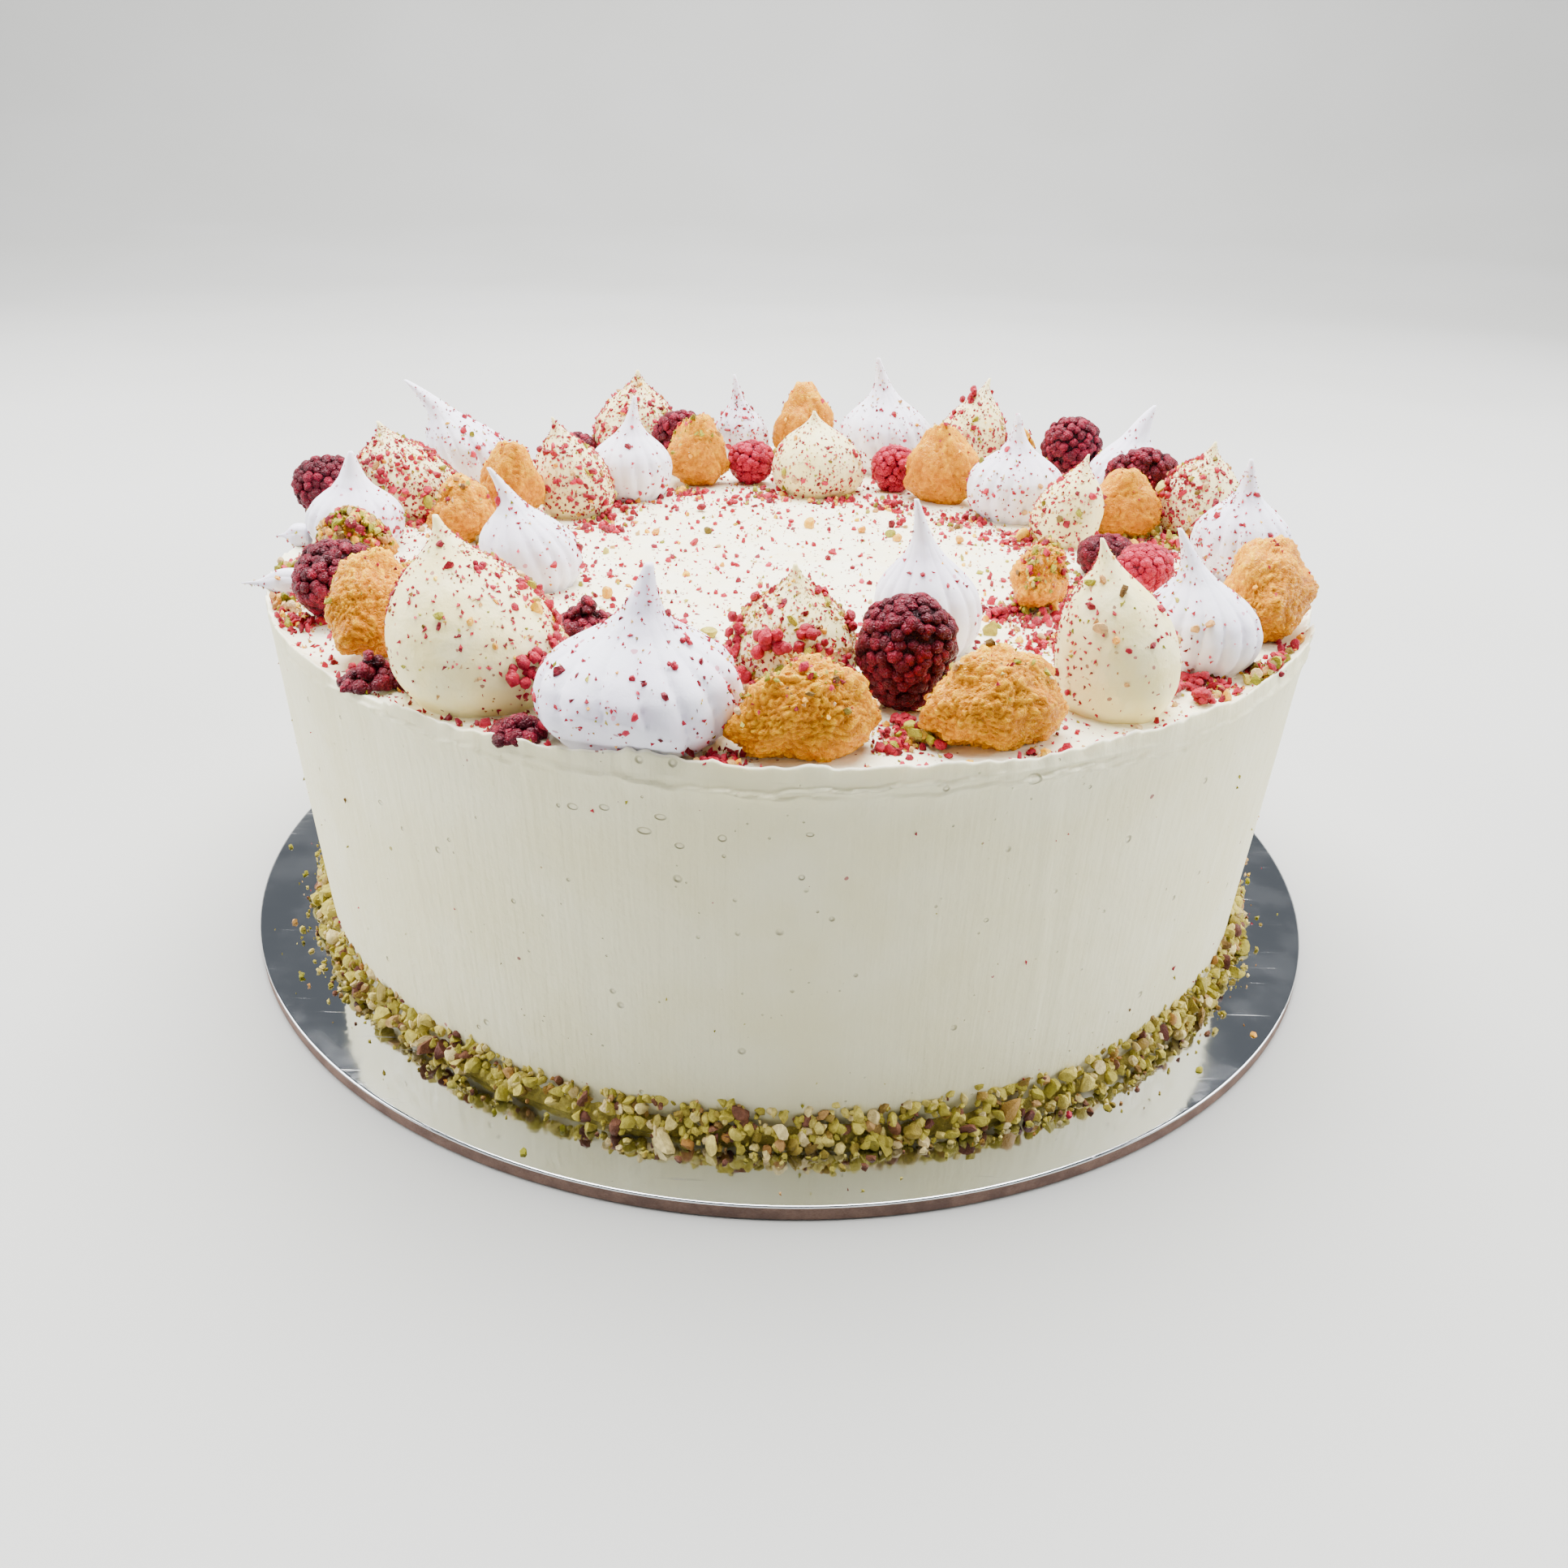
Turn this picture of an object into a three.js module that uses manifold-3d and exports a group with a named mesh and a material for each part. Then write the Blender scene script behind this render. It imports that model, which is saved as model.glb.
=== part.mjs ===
// A round orange almond cake under smooth buttercream, on a thin foil-topped cake board.
// A wreath of meringue kisses, buttercream kisses, dried orange pieces and dried raspberries
// lies round its top edge, crumbs are scattered over the top, and chopped pistachios ring its foot.
// Millimetres, +Z up. The origin is the middle of the board's underside, and -Y faces the viewer.
import * as THREE from "three";
import { mergeVertices } from "three/addons/utils/BufferGeometryUtils.js";
import Module from "manifold-3d";

const wasm = await Module();
wasm.setup();

// Driving dimensions.
const BOARD_RADIUS = 152.4; // a 12 inch board
const BOARD_THICKNESS = 4;
const BOARD_BEVEL = 0.5;
const FOOT_RADIUS = 132.2; // the buttercream wall where it meets the board
const RIM_RADIUS = 136.5; // and where it meets the top
const TOP_Z = 95;
const LIP_WIDTH = 3.4; // the scraped edge that stands up round the top
const LIP_HEIGHT = 1.3;
const LIP_TILT = 1.1; // how much higher the lip stands on its right front side
const LIP_HIGH_SIDE = -50; // degrees
const ROUND_SIDES = 64; // faces round the cake and the board
const GAP = 0.3; // kept between pieces that touch
const NUT_RING_WIDTH = 4.6; // the bed of chopped pistachio at the foot
const NUT_RING_HEIGHT = 7.5;
const NUT_COUNT = 80;
const NUT_SIZE = [2.2, 4.4]; // half lengths, smallest and largest
const CRUMB_COUNT = 48;
const CRUMB_SIZE = [1.1, 2.4]; // half lengths of the crumbs on the top
const CRUMB_FIELD = 121; // they lie within this radius

// Meringue kisses: place of the foot, radius, height, how far and which way (degrees) the tip leans.
const MERINGUES = [
  { name: "meringue_01", x: -29, y: -117.5, r: 20.6, h: 34, lean: 3, toward: 0, ribs: 14 },
  { name: "meringue_02", x: 93.8, y: -72, r: 13.4, h: 30, lean: 9, toward: 165, ribs: 10 },
  { name: "meringue_03", x: 123, y: -2.5, r: 13.2, h: 31, lean: 2, toward: 180, ribs: 10 },
  { name: "meringue_04", x: 32, y: -66.5, r: 12.6, h: 34, lean: 4.5, toward: 180, ribs: 10 },
  { name: "meringue_05", x: 69.3, y: 50.5, r: 15.2, h: 31, lean: 2, toward: 180, ribs: 10 },
  { name: "meringue_06", x: 33, y: 108, r: 16.6, h: 37, lean: 5, toward: 180, ribs: 11 },
  { name: "meringue_07", x: -18, y: 116, r: 9.8, h: 29, lean: 3, toward: 180, ribs: 8 },
  { name: "meringue_08", x: -51.5, y: 63, r: 13.4, h: 30.5, lean: 2, toward: 0, ribs: 10 },
  { name: "meringue_09", x: -103.5, y: 79, r: 13.4, h: 31, lean: 21, toward: 185, ribs: 10 },
  { name: "meringue_10", x: -120.2, y: 1.4, r: 13.4, h: 25.5, lean: 1, toward: 0, ribs: 10 },
  { name: "meringue_11", x: -65.5, y: -27, r: 13, h: 29, lean: 10, toward: 180, ribs: 10 },
  { name: "meringue_12", x: 106, y: 71.5, r: 11.6, h: 30, lean: 9, toward: 20, ribs: 10 },
];

// Two meringue kisses that lie on their sides, with the tip over the edge.
const LYING_MERINGUES = [
  { name: "meringue_13", x: -132.8, y: -1, r: 3.4, h: 9.5, heading: 176, ribs: 6 },
  { name: "meringue_14", x: -120.5, y: -40, r: 3.4, h: 16, heading: 183, ribs: 6 },
];

// Smooth buttercream kisses.
const CREAM_KISSES = [
  { name: "cream_kiss_01", x: -63.5, y: -99, r: 17.8, h: 36, lean: 8, toward: 150 },
  { name: "cream_kiss_02", x: 1, y: -92, r: 13.6, h: 26.5, lean: 1, toward: 90 },
  { name: "cream_kiss_03", x: 68.8, y: -97.5, r: 12.8, h: 35, lean: 7, toward: 170 },
  { name: "cream_kiss_04", x: 79.7, y: 23.4, r: 9.9, h: 25, lean: 5, toward: 10 },
  { name: "cream_kiss_05", x: 121.6, y: 36.8, r: 12.4, h: 27, lean: 2, toward: 20 },
  { name: "cream_kiss_06", x: 59.5, y: 101, r: 12.2, h: 32, lean: 7, toward: 20 },
  { name: "cream_kiss_07", x: 8.5, y: 76.5, r: 14.8, h: 25, lean: 2, toward: 180 },
  { name: "cream_kiss_08", x: -54.5, y: 108, r: 14.6, h: 31, lean: 1, toward: 0 },
  { name: "cream_kiss_09", x: -65.5, y: 42, r: 11.6, h: 28, lean: 6, toward: 180 },
  { name: "cream_kiss_10", x: -114.5, y: 38, r: 15, h: 26, lean: 8, toward: 180 },
];

// Dried orange pieces: half sizes along, across and up, turned by yaw and tipped over by tip (degrees).
const ORANGES = [
  { name: "orange_01", x: 3.9, y: -124.3, z: 7, size: [14.8, 8.5, 11.2], yaw: 14, tip: 8 },
  { name: "orange_02", x: 40.8, y: -116.5, z: 7, size: [15, 9, 10.5], yaw: 14, tip: -6 },
  { name: "orange_03", x: 114.2, y: -51, z: 8.8, size: [14.5, 9.6, 12.6], yaw: 40, tip: -10 },
  { name: "orange_04", x: 62, y: -37, z: 7, size: [9, 7, 9], yaw: 70, tip: 14 },
  { name: "orange_05", x: 98.8, y: 32.6, z: 8, size: [11.2, 8.4, 10.6], yaw: -8, tip: 8 },
  { name: "orange_06", x: 47.4, y: 66, z: 9.6, size: [12, 9, 13.4], yaw: -14, tip: 4 },
  { name: "orange_07", x: 4, y: 116.5, z: 10.5, size: [11.5, 8.5, 14], yaw: 6, tip: -12 },
  { name: "orange_08", x: -31.5, y: 79.5, z: 9, size: [10.5, 8, 12], yaw: 24, tip: 6 },
  { name: "orange_09", x: -81.6, y: 27.5, z: 10.4, size: [9.4, 7.4, 12.5], yaw: 10, tip: 10 },
  { name: "orange_10", x: -92, y: 8.5, z: 7, size: [9.2, 7, 9.5], yaw: 20, tip: -8 },
  { name: "orange_11", x: -113.5, y: -19.5, z: 6.5, size: [10.5, 7.6, 8], yaw: -10, tip: 16 },
  { name: "orange_12", x: -89.6, y: -79, z: 9.2, size: [12.8, 8.4, 12], yaw: 48, tip: -12 },
  { name: "orange_13", x: 76.5, y: 95, z: 8, size: [6, 5, 9.5], yaw: 30, tip: 8 },
];

// Dried raspberries: half sizes along, across and up, turned and tipped; squash flattens one side.
const RASPBERRIES = [
  { name: "raspberry_01", x: 24.3, y: -100.4, z: 11, size: [10.2, 9, 12.6], yaw: 0, tip: -6 },
  { name: "raspberry_02", x: 91, y: -25, z: 6.5, size: [8, 7, 7.2], yaw: 30, tip: 24 },
  { name: "raspberry_03", x: 86, y: -4, z: 4.5, size: [9, 6, 5.5], yaw: 35, tip: 0 },
  { name: "raspberry_04", x: 108.4, y: 53.6, z: 10.4, size: [11.4, 6, 10.8], yaw: -6, tip: 10 },
  { name: "raspberry_05", x: 92.6, y: 87, z: 11.6, size: [9.8, 8.6, 12], yaw: 0, tip: 0 },
  { name: "raspberry_06", x: 33.2, y: 78, z: 6.6, size: [7.4, 6.2, 8.2], yaw: 0, tip: 8 },
  { name: "raspberry_07", x: -13.5, y: 83.4, z: 6.4, size: [7.8, 6.6, 7.2], yaw: 0, tip: 14 },
  { name: "raspberry_08", x: -37.4, y: 94, z: 11, size: [9.6, 5.4, 10.4], yaw: 10, tip: 16 },
  { name: "raspberry_09", x: -73.5, y: 99, z: 5.4, size: [6, 5.4, 6], yaw: 0, tip: 0 },
  { name: "raspberry_10", x: -133.6, y: 21.5, z: 9.6, size: [9.8, 7.6, 10], yaw: 10, tip: -20 },
  { name: "raspberry_11", x: -106.5, y: -56, z: 8.2, size: [11.4, 9, 9.8], yaw: 60, tip: 24 },
];

// Raspberries that have fallen apart into clumps of drupelets: a few lumps round the place.
const CLUMPS = [
  { name: "raspberry_clump_01", x: -47.5, y: -60, r: 7.2, lumps: 5, turn: 0 },
  { name: "raspberry_clump_02", x: -86.7, y: -98.4, r: 6.8, lumps: 5, turn: 50 },
  { name: "raspberry_clump_03", x: -51.6, y: -121.6, r: 5.2, lumps: 5, turn: 20 },
];

// Outlines of the kisses as [share of the height, share of the radius].
const MERINGUE_OUTLINE = [
  [0, 0.8], [0.15, 0.98], [0.32, 1], [0.48, 0.74], [0.6, 0.42], [0.74, 0.2], [1, 0.05],
];
const CREAM_OUTLINE = [
  [0, 0.82], [0.15, 0.98], [0.36, 1], [0.56, 0.8], [0.73, 0.48], [0.87, 0.2], [1, 0.03],
];
const RIB_DEPTH = 0.09;
const CREAM_SIDES = 12;

const degrees = THREE.MathUtils.degToRad;
const between = ([low, high], share) => low + (high - low) * share;

// A seeded stream of numbers from 0 to 1, so that every build scatters the crumbs alike.
function randomStream(seed) {
  let state = seed;
  return () => {
    state = (state + 0x6d2b79f5) | 0;
    let t = Math.imul(state ^ (state >>> 15), 1 | state);
    t = (t + Math.imul(t ^ (t >>> 7), 61 | t)) ^ t;
    return ((t ^ (t >>> 14)) >>> 0) / 4294967296;
  };
}

// A closed three.js geometry as a solid for cutting and joining, and back again.
function solidOf(geometry, matrix = new THREE.Matrix4()) {
  const bare = (geometry.index ? geometry.toNonIndexed() : geometry.clone()).applyMatrix4(matrix);
  bare.deleteAttribute("normal");
  bare.deleteAttribute("uv");
  const merged = mergeVertices(bare, 1e-3);
  const corners = [];
  const index = merged.index.array;
  for (let i = 0; i < index.length; i += 3) {
    const [a, b, c] = index.subarray(i, i + 3);
    if (a !== b && b !== c && c !== a) corners.push(a, b, c);
  }
  return new wasm.Manifold(
    new wasm.Mesh({
      numProp: 3,
      vertProperties: merged.attributes.position.array,
      triVerts: new Uint32Array(corners),
    }),
  );
}

function geometryOf(solid) {
  const { vertProperties, triVerts } = solid.getMesh();
  const geometry = new THREE.BufferGeometry();
  geometry.setAttribute("position", new THREE.BufferAttribute(new Float32Array(vertProperties), 3));
  geometry.setIndex(new THREE.BufferAttribute(new Uint32Array(triVerts), 1));
  geometry.computeVertexNormals();
  return geometry;
}

// Moves every vertex of a geometry by a function that changes the vector it is given.
function reshape(geometry, change) {
  const position = geometry.attributes.position;
  const point = new THREE.Vector3();
  for (let i = 0; i < position.count; i++) {
    point.fromBufferAttribute(position, i);
    change(point);
    position.setXYZ(i, point.x, point.y, point.z);
  }
  return geometry;
}

function lathe(outline, sides) {
  const points = outline.map(([radius, z]) => new THREE.Vector2(radius, z));
  return new THREE.LatheGeometry(points, sides).rotateX(Math.PI / 2);
}

const wallRadius = (z) =>
  THREE.MathUtils.mapLinear(z, BOARD_THICKNESS, TOP_Z, FOOT_RADIUS, RIM_RADIUS);

// How far the lip stands above the top at an angle, with ragged peaks and folds.
function lipHeight(angle) {
  const ragged =
    0.45 * Math.sin(7 * angle + 1) + 0.35 * Math.sin(17 * angle) + 0.3 * Math.sin(29 * angle + 2);
  return LIP_HEIGHT + LIP_TILT * Math.cos(angle - degrees(LIP_HIGH_SIDE)) + 0.8 * ragged;
}

// A band round the top edge that the toppings are kept out of: the lip, grown by a margin.
function lipBand(margin) {
  const outline = [
    [RIM_RADIUS - LIP_WIDTH - margin, TOP_Z - 2],
    [RIM_RADIUS + margin, TOP_Z - 2],
    [RIM_RADIUS + margin, TOP_Z + 1],
    [RIM_RADIUS - LIP_WIDTH - margin, TOP_Z + 1],
    [RIM_RADIUS - LIP_WIDTH - margin, TOP_Z - 2],
  ];
  return reshape(lathe(outline, ROUND_SIDES), (p) => {
    if (p.z > TOP_Z) p.z = TOP_Z + margin + Math.max(0.3, lipHeight(Math.atan2(p.y, p.x)));
  });
}

function cakeBody() {
  const outline = [
    [0, BOARD_THICKNESS],
    [FOOT_RADIUS, BOARD_THICKNESS],
    [wallRadius(45), 45],
    [RIM_RADIUS, TOP_Z - 1.5],
    [RIM_RADIUS - 0.35 * LIP_WIDTH, TOP_Z + 1],
    [RIM_RADIUS - LIP_WIDTH, TOP_Z],
    [CRUMB_FIELD, TOP_Z],
    [0, TOP_Z],
  ];
  return reshape(lathe(outline, ROUND_SIDES), (p) => {
    const angle = Math.atan2(p.y, p.x);
    if (p.z > TOP_Z) p.z = TOP_Z + Math.max(0.3, lipHeight(angle));
    if (p.z > 30 && p.z < 80) {
      const waver = 1 + 0.0012 * Math.sin(5 * angle + p.z / 20);
      p.x *= waver;
      p.y *= waver;
    }
  });
}

// A kiss as a turned shape whose radius waves with its ribs, with its tip drawn to one side.
function kiss({ r, h, lean = 0, toward = 0, ribs = 0 }, outline) {
  const sides = ribs ? 2 * ribs : CREAM_SIDES;
  const turned = [[0, 0], ...outline.map(([up, out]) => [out * r, up * h]), [0, h * 1.01]];
  return reshape(lathe(turned, sides), (p) => {
    const up = p.z / h;
    const side = Math.round((Math.atan2(p.x, -p.y) / (2 * Math.PI)) * sides);
    const groove = ribs && up < 0.8 && side % 2 ? 1 - RIB_DEPTH * (1 - up) : 1;
    const drift = lean * up * up;
    p.x = p.x * groove + drift * Math.cos(degrees(toward));
    p.y = p.y * groove + drift * Math.sin(degrees(toward));
  });
}

const placed = (x, y, z, ...turns) =>
  turns.reduce((m, turn) => m.multiply(turn), new THREE.Matrix4().makeTranslation(x, y, z));
const turnX = (angle) => new THREE.Matrix4().makeRotationX(degrees(angle));
const turnY = (angle) => new THREE.Matrix4().makeRotationY(degrees(angle));
const turnZ = (angle) => new THREE.Matrix4().makeRotationZ(degrees(angle));

// A ball of radius 1 with more faces for a larger piece.
const ball = (halfLength) => new THREE.OctahedronGeometry(1, halfLength > 9 ? 3 : 2);

// A dried orange piece: a fat crescent, arched along its back, with sacs bulging out.
function orangePiece({ size: [along, across, up], yaw }) {
  return reshape(ball(along), (p) => {
    const sacs = 1 + 0.06 * Math.sin(6 * p.x + yaw) * Math.cos(5 * p.z + 4 * p.y);
    const arch = 0.28 * (1 - p.x * p.x);
    const wedge = 1 - 0.3 * Math.max(0, p.z);
    p.set(
      p.x * along * sacs,
      p.y * across * wedge * sacs,
      (p.z * (1 - 0.25 * p.x * p.x) + arch - 0.14) * up * sacs,
    );
  });
}

// A dried raspberry: an egg with its wide end up, dimpled between the drupelets.
function raspberry({ size: [along, across, up], yaw }) {
  return reshape(ball(along), (p) => {
    const knobs = 1 + 0.055 * Math.sin(9 * p.z + yaw) * Math.cos(7 * Math.atan2(p.y, p.x) + yaw);
    const taper = 1 + 0.16 * p.z;
    p.set(p.x * along * taper * knobs, p.y * across * taper * knobs, p.z * up * knobs);
  });
}

function clumpSolid({ x, y, r, lumps, turn }) {
  const pieces = [];
  for (let i = 0; i < lumps; i++) {
    const angle = degrees(turn + (360 / lumps) * i);
    const out = i === 0 ? 0 : 0.55 * r;
    const size = 0.62 * r * (1 - 0.06 * i);
    const rise = i === 0 ? 0.8 * r : 0.36 * r;
    const lump = new THREE.IcosahedronGeometry(size, 0);
    pieces.push(
      solidOf(lump, placed(x + out * Math.cos(angle), y + out * Math.sin(angle), TOP_Z + rise)),
    );
  }
  return joined(pieces);
}

const joined = (solids) => solids.reduce((whole, solid) => whole.add(solid));

// A box that fills everything below a level.
function floorBelow(z) {
  const depth = 60;
  return solidOf(new THREE.BoxGeometry(400, 400, depth), placed(0, 0, z - depth / 2));
}

const belowTop = floorBelow(TOP_Z);
const lip = solidOf(lipBand(GAP));
const restOnTop = (solid) => solid.subtract(belowTop).subtract(lip);

// The toppings, each with the circle on the cake's top that it takes up.
function toppings() {
  const made = [];
  const add = (piece, solid, colour, radius) => made.push({ ...piece, solid, colour, radius });
  for (const piece of MERINGUES) {
    const solid = solidOf(kiss(piece, MERINGUE_OUTLINE), placed(piece.x, piece.y, TOP_Z));
    add(piece, solid, "meringue", piece.r);
  }
  for (const piece of LYING_MERINGUES) {
    const place = placed(piece.x, piece.y, TOP_Z + piece.r * 0.86, turnZ(piece.heading), turnY(93));
    add(piece, solidOf(kiss(piece, MERINGUE_OUTLINE), place), "meringue", piece.r);
  }
  for (const piece of CREAM_KISSES) {
    const solid = solidOf(kiss(piece, CREAM_OUTLINE), placed(piece.x, piece.y, TOP_Z));
    add(piece, solid, "cream", piece.r);
  }
  for (const piece of ORANGES) {
    const place = placed(piece.x, piece.y, TOP_Z + piece.z, turnZ(piece.yaw), turnX(piece.tip));
    add(piece, solidOf(orangePiece(piece), place), "orange", piece.size[0]);
  }
  for (const piece of RASPBERRIES) {
    const place = placed(piece.x, piece.y, TOP_Z + piece.z, turnZ(piece.yaw), turnX(piece.tip));
    add(piece, solidOf(raspberry(piece), place), "raspberry", piece.size[0]);
  }
  for (const piece of CLUMPS) add(piece, clumpSolid(piece), "raspberry", piece.r);
  return made.map((piece) => ({ ...piece, solid: restOnTop(piece.solid) }));
}

// A chip of nut or fruit: an octahedron stretched unevenly and turned any way.
function chipSolid(size, random, x, y, z) {
  const stretch = new THREE.Vector3(1, 0.55 + 0.3 * random(), 0.5 + 0.35 * random());
  const turn = new THREE.Euler(Math.PI * random(), Math.PI * random(), Math.PI * random());
  const place = placed(x, y, z, new THREE.Matrix4().makeRotationFromEuler(turn));
  return solidOf(new THREE.OctahedronGeometry(1, 0), place.scale(stretch.multiplyScalar(size)));
}

// The cake with the larger crumbs fused to its top, clear of the toppings.
function cakeWithCrumbs(pieces) {
  const random = randomStream(7);
  const crumbs = [];
  while (crumbs.length < CRUMB_COUNT) {
    const out = CRUMB_FIELD * Math.sqrt(random());
    const angle = 2 * Math.PI * random();
    const size = between(CRUMB_SIZE, random() ** 2);
    const x = out * Math.cos(angle);
    const y = out * Math.sin(angle);
    const clear = pieces.every((p) => Math.hypot(p.x - x, p.y - y) > p.radius * 1.25 + size + 2);
    if (clear) crumbs.push(chipSolid(size, random, x, y, TOP_Z + 0.25 * size));
  }
  return joined([solidOf(cakeBody()), ...crumbs]);
}

// Chopped pistachio heaped in the corner between wall and board.
function nutRing() {
  const inner = (z) => wallRadius(z) + GAP;
  const low = BOARD_THICKNESS;
  const high = low + NUT_RING_HEIGHT;
  const outline = [
    [inner(low), low],
    [inner(low) + NUT_RING_WIDTH, low],
    [inner(high), high],
    [inner(low), low],
  ];
  const bed = reshape(lathe(outline, ROUND_SIDES), (p) => {
    const angle = Math.atan2(p.y, p.x);
    const swell = 0.5 * Math.sin(11 * angle) + 0.5 * Math.sin(23 * angle + 1);
    if (p.z > high - 1) p.z += swell;
    else if (Math.hypot(p.x, p.y) > inner(low) + 1) {
      p.x += swell * Math.cos(angle);
      p.y += swell * Math.sin(angle);
    }
  });
  const random = randomStream(21);
  const nuts = [];
  for (let i = 0; i < NUT_COUNT; i++) {
    const angle = (2 * Math.PI * (i + random())) / NUT_COUNT;
    const share = random();
    const size = between(NUT_SIZE, random() ** 2);
    const out = inner(low) + NUT_RING_WIDTH * (1 - 0.9 * share) + 0.15 * size;
    const z = low + NUT_RING_HEIGHT * 0.95 * share + 0.12 * size;
    nuts.push(chipSolid(size, random, out * Math.cos(angle), out * Math.sin(angle), z));
  }
  const wall = solidOf(
    lathe([[0, 0], [inner(0), 0], [inner(TOP_Z), TOP_Z], [0, TOP_Z]], ROUND_SIDES),
  );
  return joined([solidOf(bed), ...nuts]).subtract(wall).subtract(floorBelow(low));
}

function board() {
  const outline = [
    [0, 0],
    [BOARD_RADIUS - BOARD_BEVEL, 0],
    [BOARD_RADIUS, BOARD_BEVEL],
    [BOARD_RADIUS, BOARD_THICKNESS - BOARD_BEVEL],
    [BOARD_RADIUS - BOARD_BEVEL, BOARD_THICKNESS],
    [0, BOARD_THICKNESS],
  ];
  return lathe(outline, ROUND_SIDES);
}

const COLOURS = {
  foil: { color: 0xb9bcc2, roughness: 0.18, metalness: 1 },
  buttercream: { color: 0xf0ebd6, roughness: 0.5, metalness: 0 },
  cream: { color: 0xf1e8c8, roughness: 0.5, metalness: 0 },
  meringue: { color: 0xf2edf3, roughness: 0.6, metalness: 0 },
  orange: { color: 0xf0a21a, roughness: 0.6, metalness: 0 },
  raspberry: { color: 0x8c1230, roughness: 0.6, metalness: 0 },
  pistachio: { color: 0xa8993e, roughness: 0.7, metalness: 0 },
};

const cake = new THREE.Group();
function addMesh(name, geometry, colour) {
  const mesh = new THREE.Mesh(geometry, new THREE.MeshStandardMaterial(COLOURS[colour]));
  mesh.name = name;
  cake.add(mesh);
}

const pieces = toppings();
addMesh("cake_board", board(), "foil");
addMesh("cake", geometryOf(cakeWithCrumbs(pieces)), "buttercream");
addMesh("pistachio_ring", geometryOf(nutRing()), "pistachio");
for (const piece of pieces) addMesh(piece.name, geometryOf(piece.solid), piece.colour);

export default cake;
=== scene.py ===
"""The looks of a round orange almond cake: smooth buttercream on a foil board, with a wreath of
meringue kisses, buttercream kisses, dried orange and dried raspberries, strewn with crumbs.

Sizes are in millimetres until a mesh is made. +Z is up and -Y faces the viewer."""
import math

import bmesh
import bpy
import numpy as np
from mathutils import Matrix, Vector, noise


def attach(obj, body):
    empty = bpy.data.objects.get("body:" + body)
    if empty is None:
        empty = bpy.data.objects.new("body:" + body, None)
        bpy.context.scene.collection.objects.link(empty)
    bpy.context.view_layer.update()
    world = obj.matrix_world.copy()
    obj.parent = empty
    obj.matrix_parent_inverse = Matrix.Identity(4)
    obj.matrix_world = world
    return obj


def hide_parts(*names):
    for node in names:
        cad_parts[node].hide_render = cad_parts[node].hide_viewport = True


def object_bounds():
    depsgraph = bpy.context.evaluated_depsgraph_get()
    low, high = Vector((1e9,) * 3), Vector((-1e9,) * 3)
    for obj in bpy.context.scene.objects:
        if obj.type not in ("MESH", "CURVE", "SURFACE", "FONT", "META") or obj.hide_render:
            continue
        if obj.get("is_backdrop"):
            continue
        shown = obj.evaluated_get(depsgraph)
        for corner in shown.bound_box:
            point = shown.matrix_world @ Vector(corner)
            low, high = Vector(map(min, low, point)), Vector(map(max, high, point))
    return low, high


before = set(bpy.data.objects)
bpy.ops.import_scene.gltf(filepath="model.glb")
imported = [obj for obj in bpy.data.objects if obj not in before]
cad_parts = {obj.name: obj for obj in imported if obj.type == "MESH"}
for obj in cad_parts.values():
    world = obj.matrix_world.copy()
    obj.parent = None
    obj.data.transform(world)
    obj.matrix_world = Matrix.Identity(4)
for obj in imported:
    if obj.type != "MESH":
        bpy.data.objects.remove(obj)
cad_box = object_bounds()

MM = 0.001

# The cake and its board, as the solids have them.
BOARD_RADIUS = 152.4
BOARD_THICKNESS = 4.0
FOOT_RADIUS = 132.2
RIM_RADIUS = 136.5
TOP_Z = 95.0
LIP_WIDTH = 3.4
LIP_HEIGHT = 1.3
LIP_TILT = 1.1
LIP_HIGH_SIDE = -50
NUT_RING_WIDTH = 4.6
NUT_RING_HEIGHT = 7.5

# The larger nut pieces and crumbs lie where the solids have theirs, by the same seeded draws.
LARGE_NUTS = dict(seed=21, count=80, size=(2.2, 4.4))
LARGE_CRUMBS = dict(seed=7, count=48, size=(1.1, 2.4), field=121)

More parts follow.
